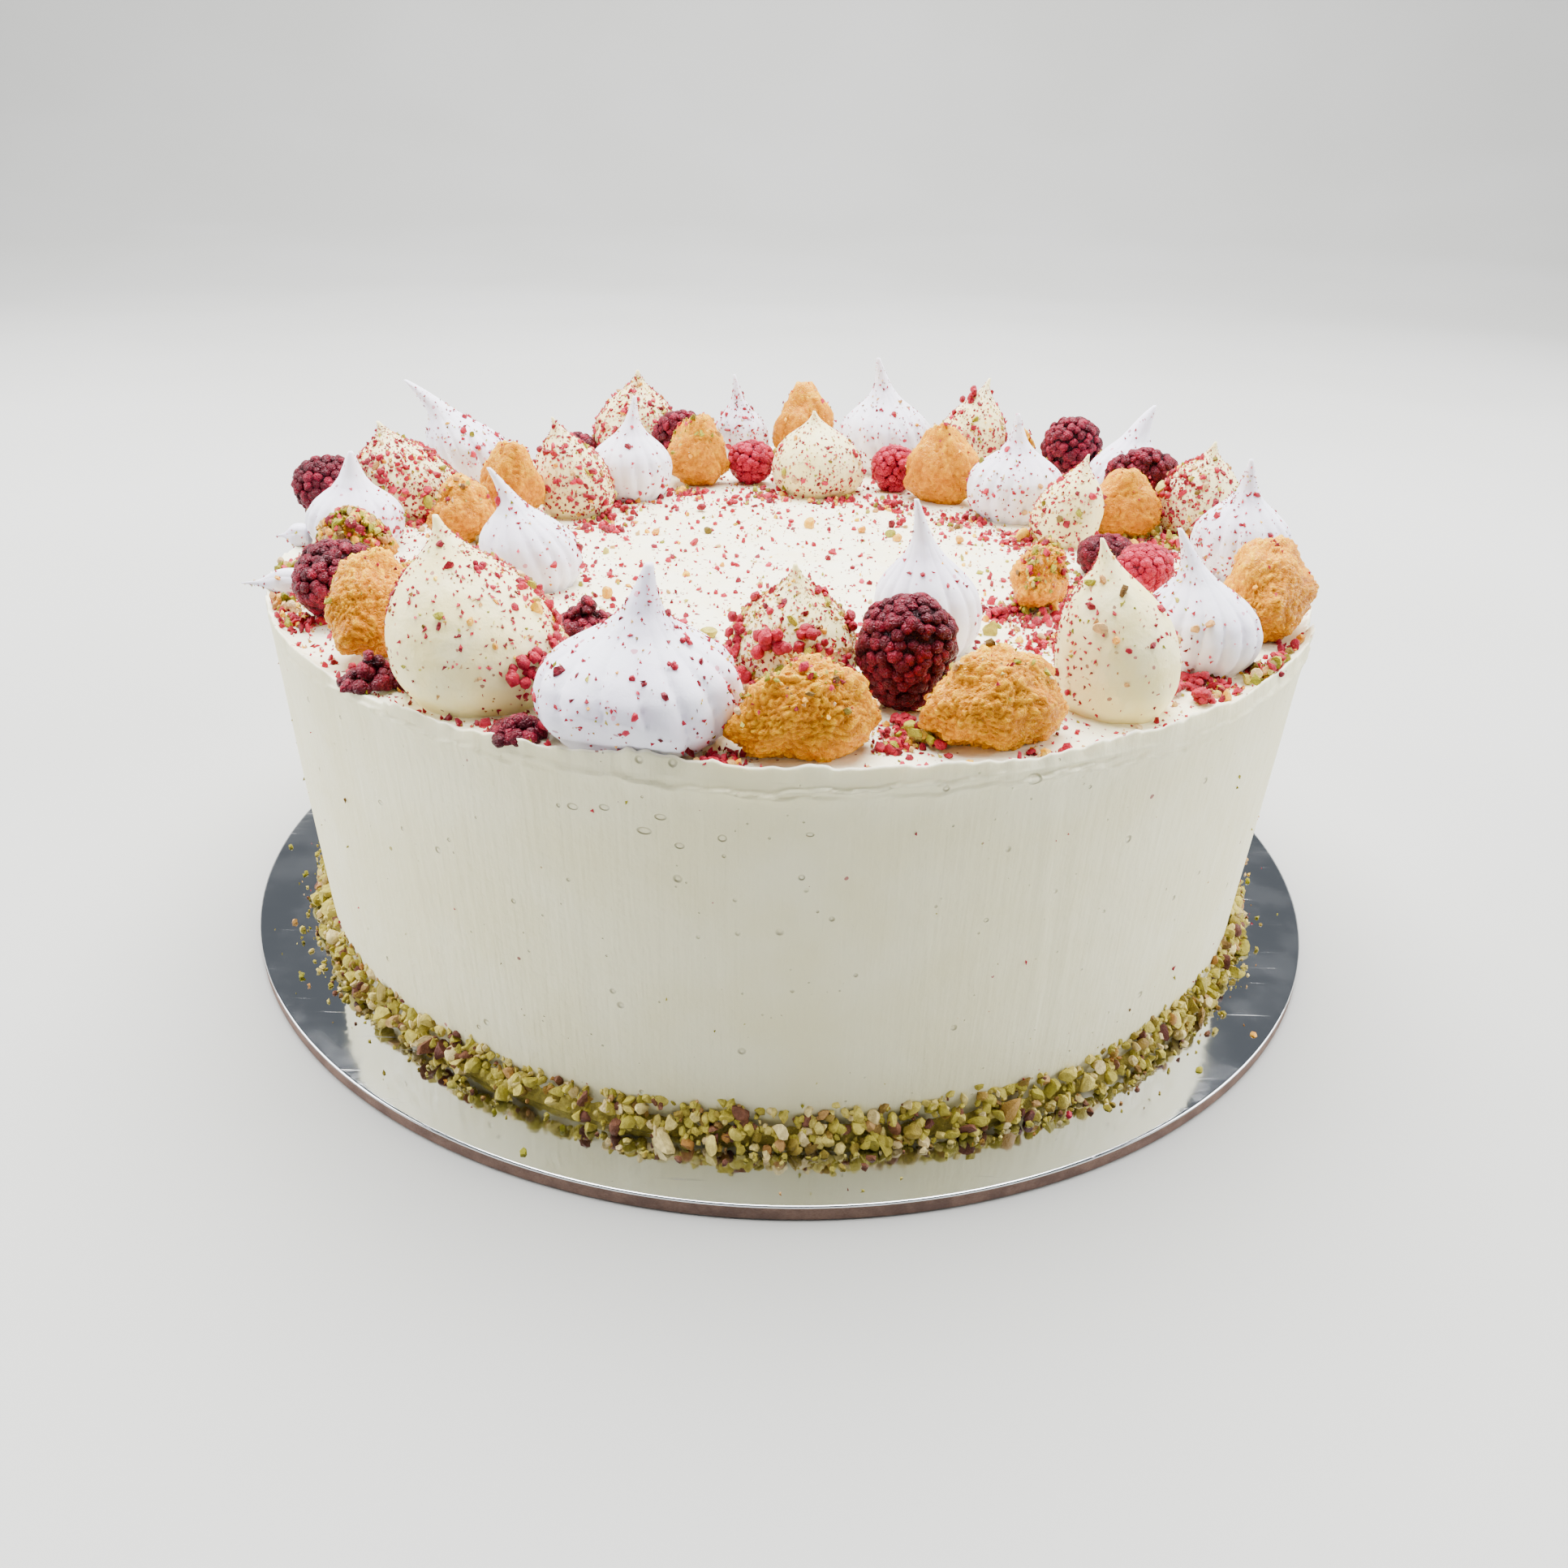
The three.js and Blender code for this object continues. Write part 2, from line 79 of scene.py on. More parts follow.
# The toppings, as the solids have them: the place of the foot, the radius or half sizes, the height,
# how far the tip leans and which way, or the turn about +Z and the tip to the side, in degrees.
# The looks add a few values of their own, each a share. For a kiss, crumbs is how thickly it is strewn,
# coarse how many of its crumbs are large, spread how far they reach round its outer side and neck how
# much thicker its tip is; flutes is its number of ribs where they were counted. For an orange piece,
# nutty is how thickly nuts lie on it.
MERINGUES = [
    dict(
        name="meringue_01", x=-29, y=-117.5, r=20.6, h=34, lean=3, toward=0, ribs=14,
        crumbs=1.7, spread=0.3, flutes=15,
    ),
    dict(name="meringue_02", x=93.8, y=-72, r=13.4, h=30, lean=9, toward=165, ribs=10, crumbs=1.6),
    dict(
        name="meringue_03", x=123, y=-2.5, r=13.2, h=31, lean=2, toward=180, ribs=10,
        crumbs=1.6, spread=0.2,
    ),
    dict(
        name="meringue_04", x=32, y=-66.5, r=12.6, h=34, lean=4.5, toward=180, ribs=10,
        crumbs=0.7,
    ),
    dict(name="meringue_05", x=69.3, y=50.5, r=15.2, h=31, lean=2, toward=180, ribs=10),
    dict(name="meringue_06", x=33, y=108, r=16.6, h=37, lean=5, toward=180, ribs=11, spread=0.12),
    dict(name="meringue_07", x=-18, y=116, r=9.8, h=29, lean=3, toward=180, ribs=8, crumbs=2),
    dict(name="meringue_08", x=-51.5, y=63, r=13.4, h=30.5, lean=2, toward=0, ribs=10, crumbs=0.4),
    dict(
        name="meringue_09", x=-103.5, y=79, r=13.4, h=31, lean=21, toward=185, ribs=10,
        crumbs=1.6, spread=0.4, neck=0.09,
    ),
    dict(
        name="meringue_10", x=-120.2, y=1.4, r=13.4, h=25.5, lean=1, toward=0, ribs=10,
        crumbs=0.5, neck=0.06,
    ),
    dict(name="meringue_11", x=-65.5, y=-27, r=13, h=29, lean=10, toward=180, ribs=10, spread=0.1),
    dict(name="meringue_12", x=106, y=71.5, r=11.6, h=30, lean=9, toward=20, ribs=10, crumbs=0.3, neck=0.1),
]

LYING_MERINGUES = [
    dict(name="meringue_13", x=-132.8, y=-1, r=3.4, h=9.5, heading=176, ribs=6, crumbs=1.5),
    dict(name="meringue_14", x=-120.5, y=-40, r=3.4, h=16, heading=183, ribs=6, crumbs=1.5),
]

CREAM_KISSES = [
    dict(name="cream_kiss_01", x=-63.5, y=-99, r=17.8, h=36, lean=8, toward=150, crumbs=1.5, spread=0.03),
    dict(
        name="cream_kiss_02", x=1, y=-92, r=13.6, h=26.5, lean=1, toward=90,
        crumbs=2.8, coarse=0.1, spread=0.7,
    ),
    dict(name="cream_kiss_03", x=68.8, y=-97.5, r=12.8, h=35, lean=7, toward=170, spread=0.03),
    dict(name="cream_kiss_04", x=79.7, y=23.4, r=9.9, h=25, lean=5, toward=10),
    dict(name="cream_kiss_05", x=121.6, y=36.8, r=12.4, h=27, lean=2, toward=20, crumbs=1.3, coarse=0.14),
    dict(
        name="cream_kiss_06", x=59.5, y=101, r=12.2, h=32, lean=7, toward=20,
        crumbs=1.2, coarse=0.1, spread=0.3,
    ),
    dict(name="cream_kiss_07", x=8.5, y=76.5, r=14.8, h=25, lean=2, toward=180, crumbs=0.5),
    dict(
        name="cream_kiss_08", x=-54.5, y=108, r=14.6, h=31, lean=1, toward=0,
        crumbs=1.7, coarse=0.16, spread=0.7,
    ),
    dict(
        name="cream_kiss_09", x=-65.5, y=42, r=11.6, h=28, lean=6, toward=180,
        crumbs=1.6, coarse=0.14, spread=0.3,
    ),
    dict(
        name="cream_kiss_10", x=-114.5, y=38, r=15, h=26, lean=8, toward=180,
        crumbs=1.8, coarse=0.16, spread=0.6,
    ),
]

ORANGES = [
    dict(name="orange_01", x=3.9, y=-124.3, z=7, size=[14.8, 8.5, 11.2], yaw=14, tip=8, nutty=0.35),
    dict(name="orange_02", x=40.8, y=-116.5, z=7, size=[15, 9, 10.5], yaw=14, tip=-6, nutty=0.1),
    dict(name="orange_03", x=114.2, y=-51, z=8.8, size=[14.5, 9.6, 12.6], yaw=40, tip=-10),
    dict(name="orange_04", x=62, y=-37, z=7, size=[9, 7, 9], yaw=70, tip=14, nutty=0.8),
    dict(name="orange_05", x=98.8, y=32.6, z=8, size=[11.2, 8.4, 10.6], yaw=-8, tip=8),
    dict(name="orange_06", x=47.4, y=66, z=9.6, size=[12, 9, 13.4], yaw=-14, tip=4),
    dict(name="orange_07", x=4, y=116.5, z=10.5, size=[11.5, 8.5, 14], yaw=6, tip=-12),
    dict(name="orange_08", x=-31.5, y=79.5, z=9, size=[10.5, 8, 12], yaw=24, tip=6, nutty=0.3),
    dict(name="orange_09", x=-81.6, y=27.5, z=10.4, size=[9.4, 7.4, 12.5], yaw=10, tip=10),
    dict(name="orange_10", x=-92, y=8.5, z=7, size=[9.2, 7, 9.5], yaw=20, tip=-8, nutty=0.3),
    dict(name="orange_11", x=-113.5, y=-19.5, z=6.5, size=[10.5, 7.6, 8], yaw=-10, tip=16, nutty=1.6),
    dict(name="orange_12", x=-89.6, y=-79, z=9.2, size=[12.8, 8.4, 12], yaw=48, tip=-12, nutty=0.15),
    dict(name="orange_13", x=76.5, y=95, z=8, size=[6, 5, 9.5], yaw=30, tip=8),
]

RASPBERRIES = [
    dict(name="raspberry_01", x=24.3, y=-100.4, z=11, size=[10.2, 9, 12.6], yaw=0, tip=-6),
    dict(name="raspberry_02", x=91, y=-25, z=6.5, size=[8, 7, 7.2], yaw=30, tip=24),
    dict(name="raspberry_03", x=86, y=-4, z=4.5, size=[9, 6, 5.5], yaw=35, tip=0),
    dict(name="raspberry_04", x=108.4, y=53.6, z=10.4, size=[11.4, 6, 10.8], yaw=-6, tip=10),
    dict(name="raspberry_05", x=92.6, y=87, z=11.6, size=[9.8, 8.6, 12], yaw=0, tip=0),
    dict(name="raspberry_06", x=33.2, y=78, z=6.6, size=[7.4, 6.2, 8.2], yaw=0, tip=8),
    dict(name="raspberry_07", x=-13.5, y=83.4, z=6.4, size=[7.8, 6.6, 7.2], yaw=0, tip=14),
    dict(name="raspberry_08", x=-37.4, y=94, z=11, size=[9.6, 5.4, 10.4], yaw=10, tip=16),
    dict(name="raspberry_09", x=-73.5, y=99, z=5.4, size=[6, 5.4, 6], yaw=0, tip=0),
    dict(name="raspberry_10", x=-133.6, y=21.5, z=9.6, size=[9.8, 7.6, 10], yaw=10, tip=-20),
    dict(name="raspberry_11", x=-106.5, y=-56, z=8.2, size=[11.4, 9, 9.8], yaw=60, tip=24),
]

CLUMPS = [
    dict(name="raspberry_clump_01", x=-47.5, y=-60, r=7.2),
    dict(name="raspberry_clump_02", x=-86.7, y=-98.4, r=6.8),
    dict(name="raspberry_clump_03", x=-51.6, y=-121.6, r=5.2),
]

# Outlines of the kisses as (share of the height, share of the radius).
MERINGUE_OUTLINE = [
    (0, 0.74), (0.07, 0.88), (0.16, 0.97), (0.28, 1), (0.4, 0.94), (0.48, 0.81), (0.56, 0.6),
    (0.64, 0.37), (0.74, 0.2), (0.86, 0.11), (0.96, 0.06), (1, 0.04),
]
CREAM_OUTLINE = [
    (0, 0.78), (0.08, 0.92), (0.18, 0.99), (0.34, 1), (0.46, 0.94), (0.56, 0.83), (0.66, 0.67),
    (0.74, 0.48), (0.81, 0.29), (0.88, 0.15), (0.94, 0.07), (1, 0.03),
]
SUNK = 0.8  # how far a topping's foot is pressed into the cream


def steps(low, high, count):
    return np.linspace(low, high, count)


def wall_radius(z):
    share = (np.asarray(z, float) - BOARD_THICKNESS) / (TOP_Z - BOARD_THICKNESS)
    return FOOT_RADIUS + (RIM_RADIUS - FOOT_RADIUS) * share


def lip_height(angle):
    """How far the scraped edge stands above the top, as in the solid."""
    ragged = 0.45 * np.sin(7 * angle + 1) + 0.35 * np.sin(17 * angle) + 0.3 * np.sin(29 * angle + 2)
    tilt = LIP_TILT * np.cos(angle - math.radians(LIP_HIGH_SIDE))
    return LIP_HEIGHT + tilt + 0.8 * ragged


def roughly(points, size, seed=0.0):
    """Smooth noise from -1 to 1 at each point, with lumps of about the given size."""
    shift = Vector((seed * 17.3, seed * 5.1 + 3, seed * 9.7))
    return np.array([noise.noise(Vector(p) / size + shift) for p in points])


def cells(points, size, seed=0.0):
    """0 in the seams between packed cells of about the given size, rising to 1 in their middles."""
    shift = Vector((seed * 7.7, seed * 3.3, seed))
    heights = []
    for p in points:
        distance = noise.voronoi(Vector(p) / size + shift)[0]
        heights.append(min(1.0, (distance[1] - distance[0]) * 2.2))
    return np.array(heights)


def folds(points, size, seed=0.0):
    """Sharp crests, up to 1, wandering over smooth hollows of about the given size."""
    return 1 - np.minimum(1, 2.6 * np.abs(roughly(points, size, seed)))


def seeded_stream(seed):
    """The same stream of numbers from 0 to 1 that scatters the solids' nuts and crumbs."""
    whole = 0xFFFFFFFF
    state = seed
    while True:
        state = (state + 0x6D2B79F5) & whole
        t = ((state ^ (state >> 15)) * (1 | state)) & whole
        t = ((t + ((t ^ (t >> 7)) * (61 | t) & whole)) & whole) ^ t
        yield ((t ^ (t >> 14)) & whole) / 4294967296


class Batch:
    """Points and faces gathered from many small shapes into one mesh.
    Each shape has a material number and a tone, a share that its material colours it by."""

    def __init__(self):
        self.points, self.faces, self.numbers, self.tones, self.count = [], [], [], [], 0

    def add(self, points, faces, number=0, tone=0.5):
        points = np.asarray(points, float)
        faces = np.asarray(faces, int)
        self.points.append(points)
        self.faces.append(faces + self.count)
        self.numbers.append(np.full(len(faces), number))
        tones = np.asarray(tone, float)
        self.tones.append(tones if tones.ndim else np.full(len(points), float(tone)))
        self.count += len(points)

    def make(self, name, finishes, slot, replaced=(), sharp=None):
        """The gathered mesh as a piece of the cake."""
        mesh = bpy.data.meshes.new(name)
        points = np.concatenate(self.points) * MM
        loops = np.concatenate([f.ravel() for f in self.faces])
        sizes = np.concatenate([np.full(len(f), f.shape[1]) for f in self.faces])
        mesh.vertices.add(len(points))
        mesh.vertices.foreach_set("co", points.ravel())
        mesh.loops.add(len(loops))
        mesh.loops.foreach_set("vertex_index", loops)
        mesh.polygons.add(len(sizes))
        mesh.polygons.foreach_set("loop_start", np.concatenate([[0], np.cumsum(sizes)[:-1]]))
        mesh.polygons.foreach_set("loop_total", sizes)
        mesh.polygons.foreach_set("material_index", np.concatenate(self.numbers))
        mesh.polygons.foreach_set("use_smooth", np.ones(len(sizes), bool))
        mesh.update()
        tone = mesh.attributes.new("tone", "FLOAT", "POINT")
        tone.data.foreach_set("value", np.concatenate(self.tones))
        if sharp is not None:
            mesh.set_sharp_from_angle(angle=math.radians(sharp))
        for finish in finishes:
            mesh.materials.append(finish)
        piece = bpy.data.objects.new(name, mesh)
        bpy.context.scene.collection.objects.link(piece)
        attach(piece, "root")
        if replaced:
            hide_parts(*replaced)
        return piece


def round_faces(rows, sides, start=0):
    """Faces of a skin of rows of points, each row running once round."""
    row = np.arange(rows - 1)[:, None] * sides
    side = np.arange(sides)[None, :]
    beside = (side + 1) % sides
    corners = [row + side, row + beside, row + sides + beside, row + sides + side]
    return np.stack([c.ravel() for c in corners], axis=1) + start


def evenly_turned(outline, sides):
    """The tables of radius and height for an outline that is the same all round."""
    return [np.repeat(np.array([[point[k]] for point in outline]), sides, axis=1) for k in (0, 1)]


def turned(radius, height, close_first=True, close_last=True):
    """A turned skin: radius and height are tables with a row for each ring and a column for each side.
    The first and last rings are closed with a fan where asked."""
    rows, sides = radius.shape
    angle = steps(0, 2 * math.pi, sides + 1)[:-1][None, :] + 0 * radius
    points = np.stack([radius * np.cos(angle), radius * np.sin(angle), height], axis=-1).reshape(-1, 3)
    quads = round_faces(rows, sides)
    fans = []
    side = np.arange(sides)
    beside = (side + 1) % sides
    if close_first:
        points = np.vstack([points, points[:sides].mean(axis=0)])
        fans.append(np.stack([beside, side, np.full(sides, len(points) - 1)], axis=1))
    if close_last:
        last = (rows - 1) * sides
        points = np.vstack([points, points[last : last + sides].mean(axis=0)])
        fans.append(np.stack([last + side, last + beside, np.full(sides, len(points) - 1)], axis=1))
    return points, quads, (np.vstack(fans) if fans else None)


def add_turned(batch, skin, number=0, tone=0.5):
    """Adds a turned skin's quads and the fans that close it, welded together."""
    points, quads, fans = skin
    start = batch.count
    batch.add(points, quads, number, tone)
    if fans is not None:
        batch.faces.append(fans + start)
        batch.numbers.append(np.full(len(fans), number))


BALLS = {}


def ball(level):
    """Points and faces of a ball of radius 1, finer for a higher level."""
    if level not in BALLS:
        form = bmesh.new()
        bmesh.ops.create_icosphere(form, subdivisions=level, radius=1)
        form.verts.ensure_lookup_table()
        points = np.array([v.co[:] for v in form.verts])
        faces = np.array([[v.index for v in f.verts] for f in form.faces])
        form.free()
        BALLS[level] = (points, faces)
    return BALLS[level]


def turn_about(x, y, z):
    """A turn about X, then Y, then Z of the piece's own axes, in degrees."""
    turns = [Matrix.Rotation(math.radians(a), 3, axis) for a, axis in ((x, "X"), (y, "Y"), (z, "Z"))]
    return np.array(turns[0] @ turns[1] @ turns[2])


def any_turn(random):
    """A turn to any side."""
    return turn_about(*(360 * random.random(3)))
# The board.

BOARD_SIDES = 256
FOIL_STARTS = 6  # the row of the outline where the foil begins


def make_board(foil, fibreboard):
    """A disc of fibreboard with foil glued over its top and turned down at the edge."""
    edge = BOARD_RADIUS
    outline = [
        (edge - 40, 0.0), (edge - 0.5, 0.0), (edge - 0.1, 0.35), (edge, 0.7), (edge, 1.8), (edge, 2.9),
        (edge - 0.02, 3.5), (edge - 0.1, 3.82), (edge - 0.3, 3.97), (edge - 0.7, BOARD_THICKNESS),
        (edge - 6, BOARD_THICKNESS), (edge - 14, BOARD_THICKNESS), (FOOT_RADIUS - 8, BOARD_THICKNESS),
    ]
    points, quads, fans = turned(*evenly_turned(outline, BOARD_SIDES))
    batch = Batch()
    batch.add(points, quads)
    batch.numbers[0] = np.where(np.arange(len(quads)) < FOIL_STARTS * BOARD_SIDES, 1, 0)
    batch.faces.append(fans)
    batch.numbers.append(np.where(np.arange(len(fans)) < BOARD_SIDES, 1, 0))
    batch.make("foil_topped_board", [foil, fibreboard], "silver_foil", ["cake_board"])


# The cake under its buttercream.

# Where the scraped lip has folded over and left a ledge on the wall: from and to, in degrees of turn
# about the cake, how far down it starts and ends, and how far it stands out, in millimetres.
LEDGES = [
    (-113, -84, 1.4, 4.6, 0.75), (-97, -70, 3.6, 0.8, 0.9), (-84, -55, 4.4, 1.2, 0.6),
    (-74, -48, 2.0, 5.2, 0.7), (-60, -30, 3.4, 0.6, 0.6), (-132, -108, 0.8, 3.8, 0.6),
    (-150, -126, 3.2, 1.0, 0.5), (-40, -12, 1.0, 3.4, 0.6), (10, 44, 3.0, 0.8, 0.6),
    (60, 92, 1.0, 3.6, 0.6), (110, 150, 3.4, 1.2, 0.6), (165, 200, 1.0, 3.0, 0.5),
]
CAKE_SIDES = 840
SCRAPER_LINES = 60


def lip_edge(angle):
    """The scraped lip with its finer tears: its height, and how far it is pushed out."""
    ring = np.stack([40 * np.cos(angle), 40 * np.sin(angle), 0 * angle], axis=1)
    fine = roughly(ring, 2.2, 1)
    finer = roughly(ring, 0.7, 2)
    torn = np.clip(roughly(ring, 3.4, 3) - 0.08, 0, 1) * 3
    height = lip_height(angle) + 1.1 * fine + 0.9 * finer + torn * (0.5 + finer)
    pushed = 0.8 * roughly(ring, 5, 4) + 0.6 * fine + 0.6 * torn + 0.4 * finer
    return np.maximum(0.5, height), pushed


def ledges(angle, z):
    """How far the folded ledges stand out from the wall at a height: sharp above, fading below."""
    turned_to = np.degrees(angle) % 360
    out = 0 * angle
    for start, end, drop_from, drop_to, stand in LEDGES:
        along = ((turned_to - start) % 360) / (end - start)
        inside = along <= 1
        wander = 0.35 * np.sin(23 * along) + 0.25 * np.sin(61 * along + start)
        edge = TOP_Z - drop_from - (drop_to - drop_from) * along + wander
        below = edge - z
        face = np.clip((below + 0.35) / 0.35, 0, 1) * np.exp(-np.maximum(0, below) / 1.6)
        out = out + np.where(inside, stand * np.sin(math.pi * np.clip(along, 0, 1)) ** 0.5 * face, 0)
    return out


def wall_relief(angle, z):
    """How far the wall stands in or out: scraper lines, long waves and small drags."""
    waves = 0.0012 * np.sin(5 * angle + z / 20) * RIM_RADIUS
    lines = 0 * angle
    random = np.random.default_rng(5)
    for place in random.uniform(-math.pi, math.pi, SCRAPER_LINES):
        width = math.radians(random.uniform(0.25, 0.9))
        depth = random.uniform(-0.26, 0.18)
        high, low = random.uniform(20, 110, 2)
        away = (angle - place + math.pi) % (2 * math.pi) - math.pi
        share = math.exp(-(((z - high) / (20 + abs(low - high))) ** 2))
        lines = lines + share * depth * np.exp(-((away + 0.0006 * (z - 50)) ** 2) / width**2)
    return waves + lines


def make_cake(finish):
    """The top with its strokes, the lip and the wall, as rings from the middle out and down."""
    angle = steps(0, 2 * math.pi, CAKE_SIDES + 1)[:-1]
    lip, pushed = lip_edge(angle)
    rings = []
    crest = RIM_RADIUS - 0.16 * LIP_WIDTH
    inner = RIM_RADIUS - 1.25 * LIP_WIDTH
    for r in np.concatenate([steps(2, 116, 16), steps(120, inner - 1, 5)]):
        place = np.stack([r * np.cos(angle), r * np.sin(angle), 0 * angle], axis=1)
        strokes = 0.3 * roughly(place, 13, 6) + 0.16 * roughly(place, 4, 7)
        swept = 0.12 * np.sin(r / 3.1 + 2 * angle)
        rings.append((r + 0 * angle, TOP_Z + strokes + swept))
    for share in steps(0, 1, 7):
        eased = share**2.2
        rings.append((inner + (crest - inner) * share + pushed * share, TOP_Z + lip * eased))
    for share in steps(0.15, 1, 7):
        r = crest + (RIM_RADIUS - crest) * share**0.5 + pushed * (1 - share) ** 0.7
        z = TOP_Z - 1.2 * share + lip * (1 - share**0.8)
        rings.append((r + ledges(angle, z), z))
    for z in np.concatenate([steps(93.4, 88.6, 13), steps(87, 7, 22), [5.2, BOARD_THICKNESS]]):
        near_lip = math.exp(-(TOP_Z - z) / 3.5)
        r = wall_radius(z) + wall_relief(angle, z) + 0.5 * pushed * near_lip + ledges(angle, z)
        rings.append((r, z + 0 * angle))
    rings.append((wall_radius(4) - 30 + 0 * angle, BOARD_THICKNESS + 0 * angle))
    radius = np.array([r for r, _ in rings])[::-1]
    height = np.array([z + 0 * angle for _, z in rings])[::-1]
    batch = Batch()
    add_turned(batch, turned(radius, height))
    batch.make("buttercream_cake", [finish], "buttercream", ["cake"])


# Kisses.

GROOVE_DEPTH = 0.085  # of a meringue's creases, as a share of its radius
LYING_TILT = 93  # degrees that a lying kiss is tipped over by


def smooth_outline(outline):
    """An outline with its corners eased, as shares of the height and of the radius."""
    up = steps(0, 1, 241)
    out = np.interp(up, [u for u, _ in outline], [o for _, o in outline])
    eased = np.convolve(np.pad(out, 6, mode="edge"), np.ones(13) / 13, mode="valid")
    hold = np.clip((up - 0.9) / 0.1, 0, 1)
    return up, eased * (1 - hold) + out * hold


class Kiss:
    """A piped kiss: where its skin is, for a turn round it and a share of its height."""

    def __init__(self, piece, outline, seed):
        self.piece = piece
        self.up, self.out = smooth_outline(outline)
        self.seed = seed
        self.frame = np.eye(3)
        self.place = np.array([piece["x"], piece["y"], TOP_Z])
        if "heading" in piece:
            self.frame = turn_about(0, 0, piece["heading"]) @ turn_about(0, LYING_TILT, 0)
            self.place[2] += piece["r"] * 0.86

    def at(self, turn, up):
        """Points of the skin, in millimetres."""
        piece = self.piece
        out = np.interp(up, self.up, self.out)
        fade = np.clip(1 - up / 0.8, 0, 1)
        if "ribs" in piece:
            out = out * (1 - GROOVE_DEPTH * np.clip(2.4 * fade, 0, 1) * self.grooves(turn, up))
        on_ball = np.stack([np.cos(turn), np.sin(turn), 2.2 * up], axis=-1)
        lumps = roughly(on_ball, 0.9, self.seed) * 0.05 + roughly(on_ball, 0.35, self.seed + 9) * 0.02
        if "ribs" not in piece:
            lumps = lumps + 0.02 * folds(on_ball, 0.8, self.seed + 4) ** 3
        out = out * (1 + lumps * (0.4 + 0.6 * fade))
        out = out + piece.get("neck", 0) * np.clip((up - 0.45) / 0.3, 0, 1) * (1 - up**12)
        drift = piece.get("lean", 0) * up * up
        toward = math.radians(piece.get("toward", 0))
        wave = 0.03 * piece["h"] * np.sin(5 * up + self.seed) * up**2
        x = out * piece["r"] * np.cos(turn) + drift * math.cos(toward) - wave * math.sin(toward)
        y = out * piece["r"] * np.sin(turn) + drift * math.sin(toward) + wave * math.cos(toward)
        points = np.stack([x, y, up * piece["h"]], axis=-1)
        return self.held_in(points @ self.frame.T + self.place)

    def held_in(self, points):
        """A standing kiss stays behind the scraped lip."""
        if "heading" in self.piece:
            return points
        reach = np.hypot(points[:, 0], points[:, 1])
        limit = RIM_RADIUS - LIP_WIDTH + 0.9 * np.maximum(0, points[:, 2] - TOP_Z - 2.5)
        over = np.maximum(0, reach - limit)
        points[:, :2] *= ((reach - over + 1.5 * (1 - np.exp(-over / 1.5))) / reach)[:, None]
        return points

    def grooves(self, turn, up):
        """1 in the creases that the nozzle's teeth leave, falling steeply to 0 on the ribs between."""
        ribs = self.piece["ribs"]
        count = self.piece.get("flutes", 1.6 * ribs if self.piece["r"] > 6 else ribs)
        twist = 0.6 * up * math.sin(self.seed)
        uneven = 0.3 * np.sin(2 * turn + self.seed) + 0.22 * np.sin(3 * turn + 2 * self.seed)
        wave = np.abs(np.sin(0.5 * round(count) * (turn + twist) + uneven))
        return 1 - wave**0.5

    def skin(self, rows, sides):
        """Points, faces and the fans that close the foot and the tip."""
        up = np.concatenate([[0], steps(0.012, 1, rows - 1) ** 0.9])
        turn = steps(0, 2 * math.pi, sides + 1)[:-1]
        turns, ups = np.meshgrid(turn, up)
        points = self.at(turns.ravel(), ups.ravel())
        if "heading" in self.piece:
            points[:, 2] = np.maximum(points[:, 2], TOP_Z - SUNK)
        else:
            points[:sides, 2] -= SUNK
        middle = points[:sides].mean(axis=0)
        tip = points[-sides:].mean(axis=0)
        faces = round_faces(rows, sides)
        side = np.arange(sides)
        beside = (side + 1) % sides
        last = (rows - 1) * sides
        foot = np.stack([beside, side, np.full(sides, len(points))], axis=1)
        cap = np.stack([last + side, last + beside, np.full(sides, len(points) + 1)], axis=1)
        return np.vstack([points, middle, tip]), faces, np.vstack([foot, cap])


def make_kiss(kiss, finish, slot, rows, sides):
    batch = Batch()
    add_turned(batch, kiss.skin(rows, sides))
    name = kiss.piece["name"]
    batch.make(name + "_piped", [finish], slot, [name])


# Dried fruit.


def orange_form(way, piece):
    """The crescent of a dried orange piece, for points on a ball of radius 1."""
    x, y, z = way.T
    along, across, up = piece["size"]
    sacs = 1 + 0.06 * np.sin(6 * x + piece["yaw"]) * np.cos(5 * z + 4 * y)
    arch = 0.28 * (1 - x * x)
    wedge = 1 - 0.3 * np.maximum(0, z)
    rise = (z * (1 - 0.25 * x * x) + arch - 0.14) * up * sacs
    return np.stack([x * along * sacs, y * across * wedge * sacs, rise], axis=1)


def set_in_place(points, piece):
    """Turns a dried piece as the solids do and stands it on the top."""
    frame_of = turn_about(0, 0, piece["yaw"]) @ turn_about(piece["tip"], 0, 0)
    return points @ frame_of.T + np.array([piece["x"], piece["y"], TOP_Z + piece["z"]])


def press_into_cream(points):
    """Nothing of a topping reaches further down than it is pressed into the cream."""
    points[:, 2] = np.maximum(points[:, 2], TOP_Z - SUNK)
    return points


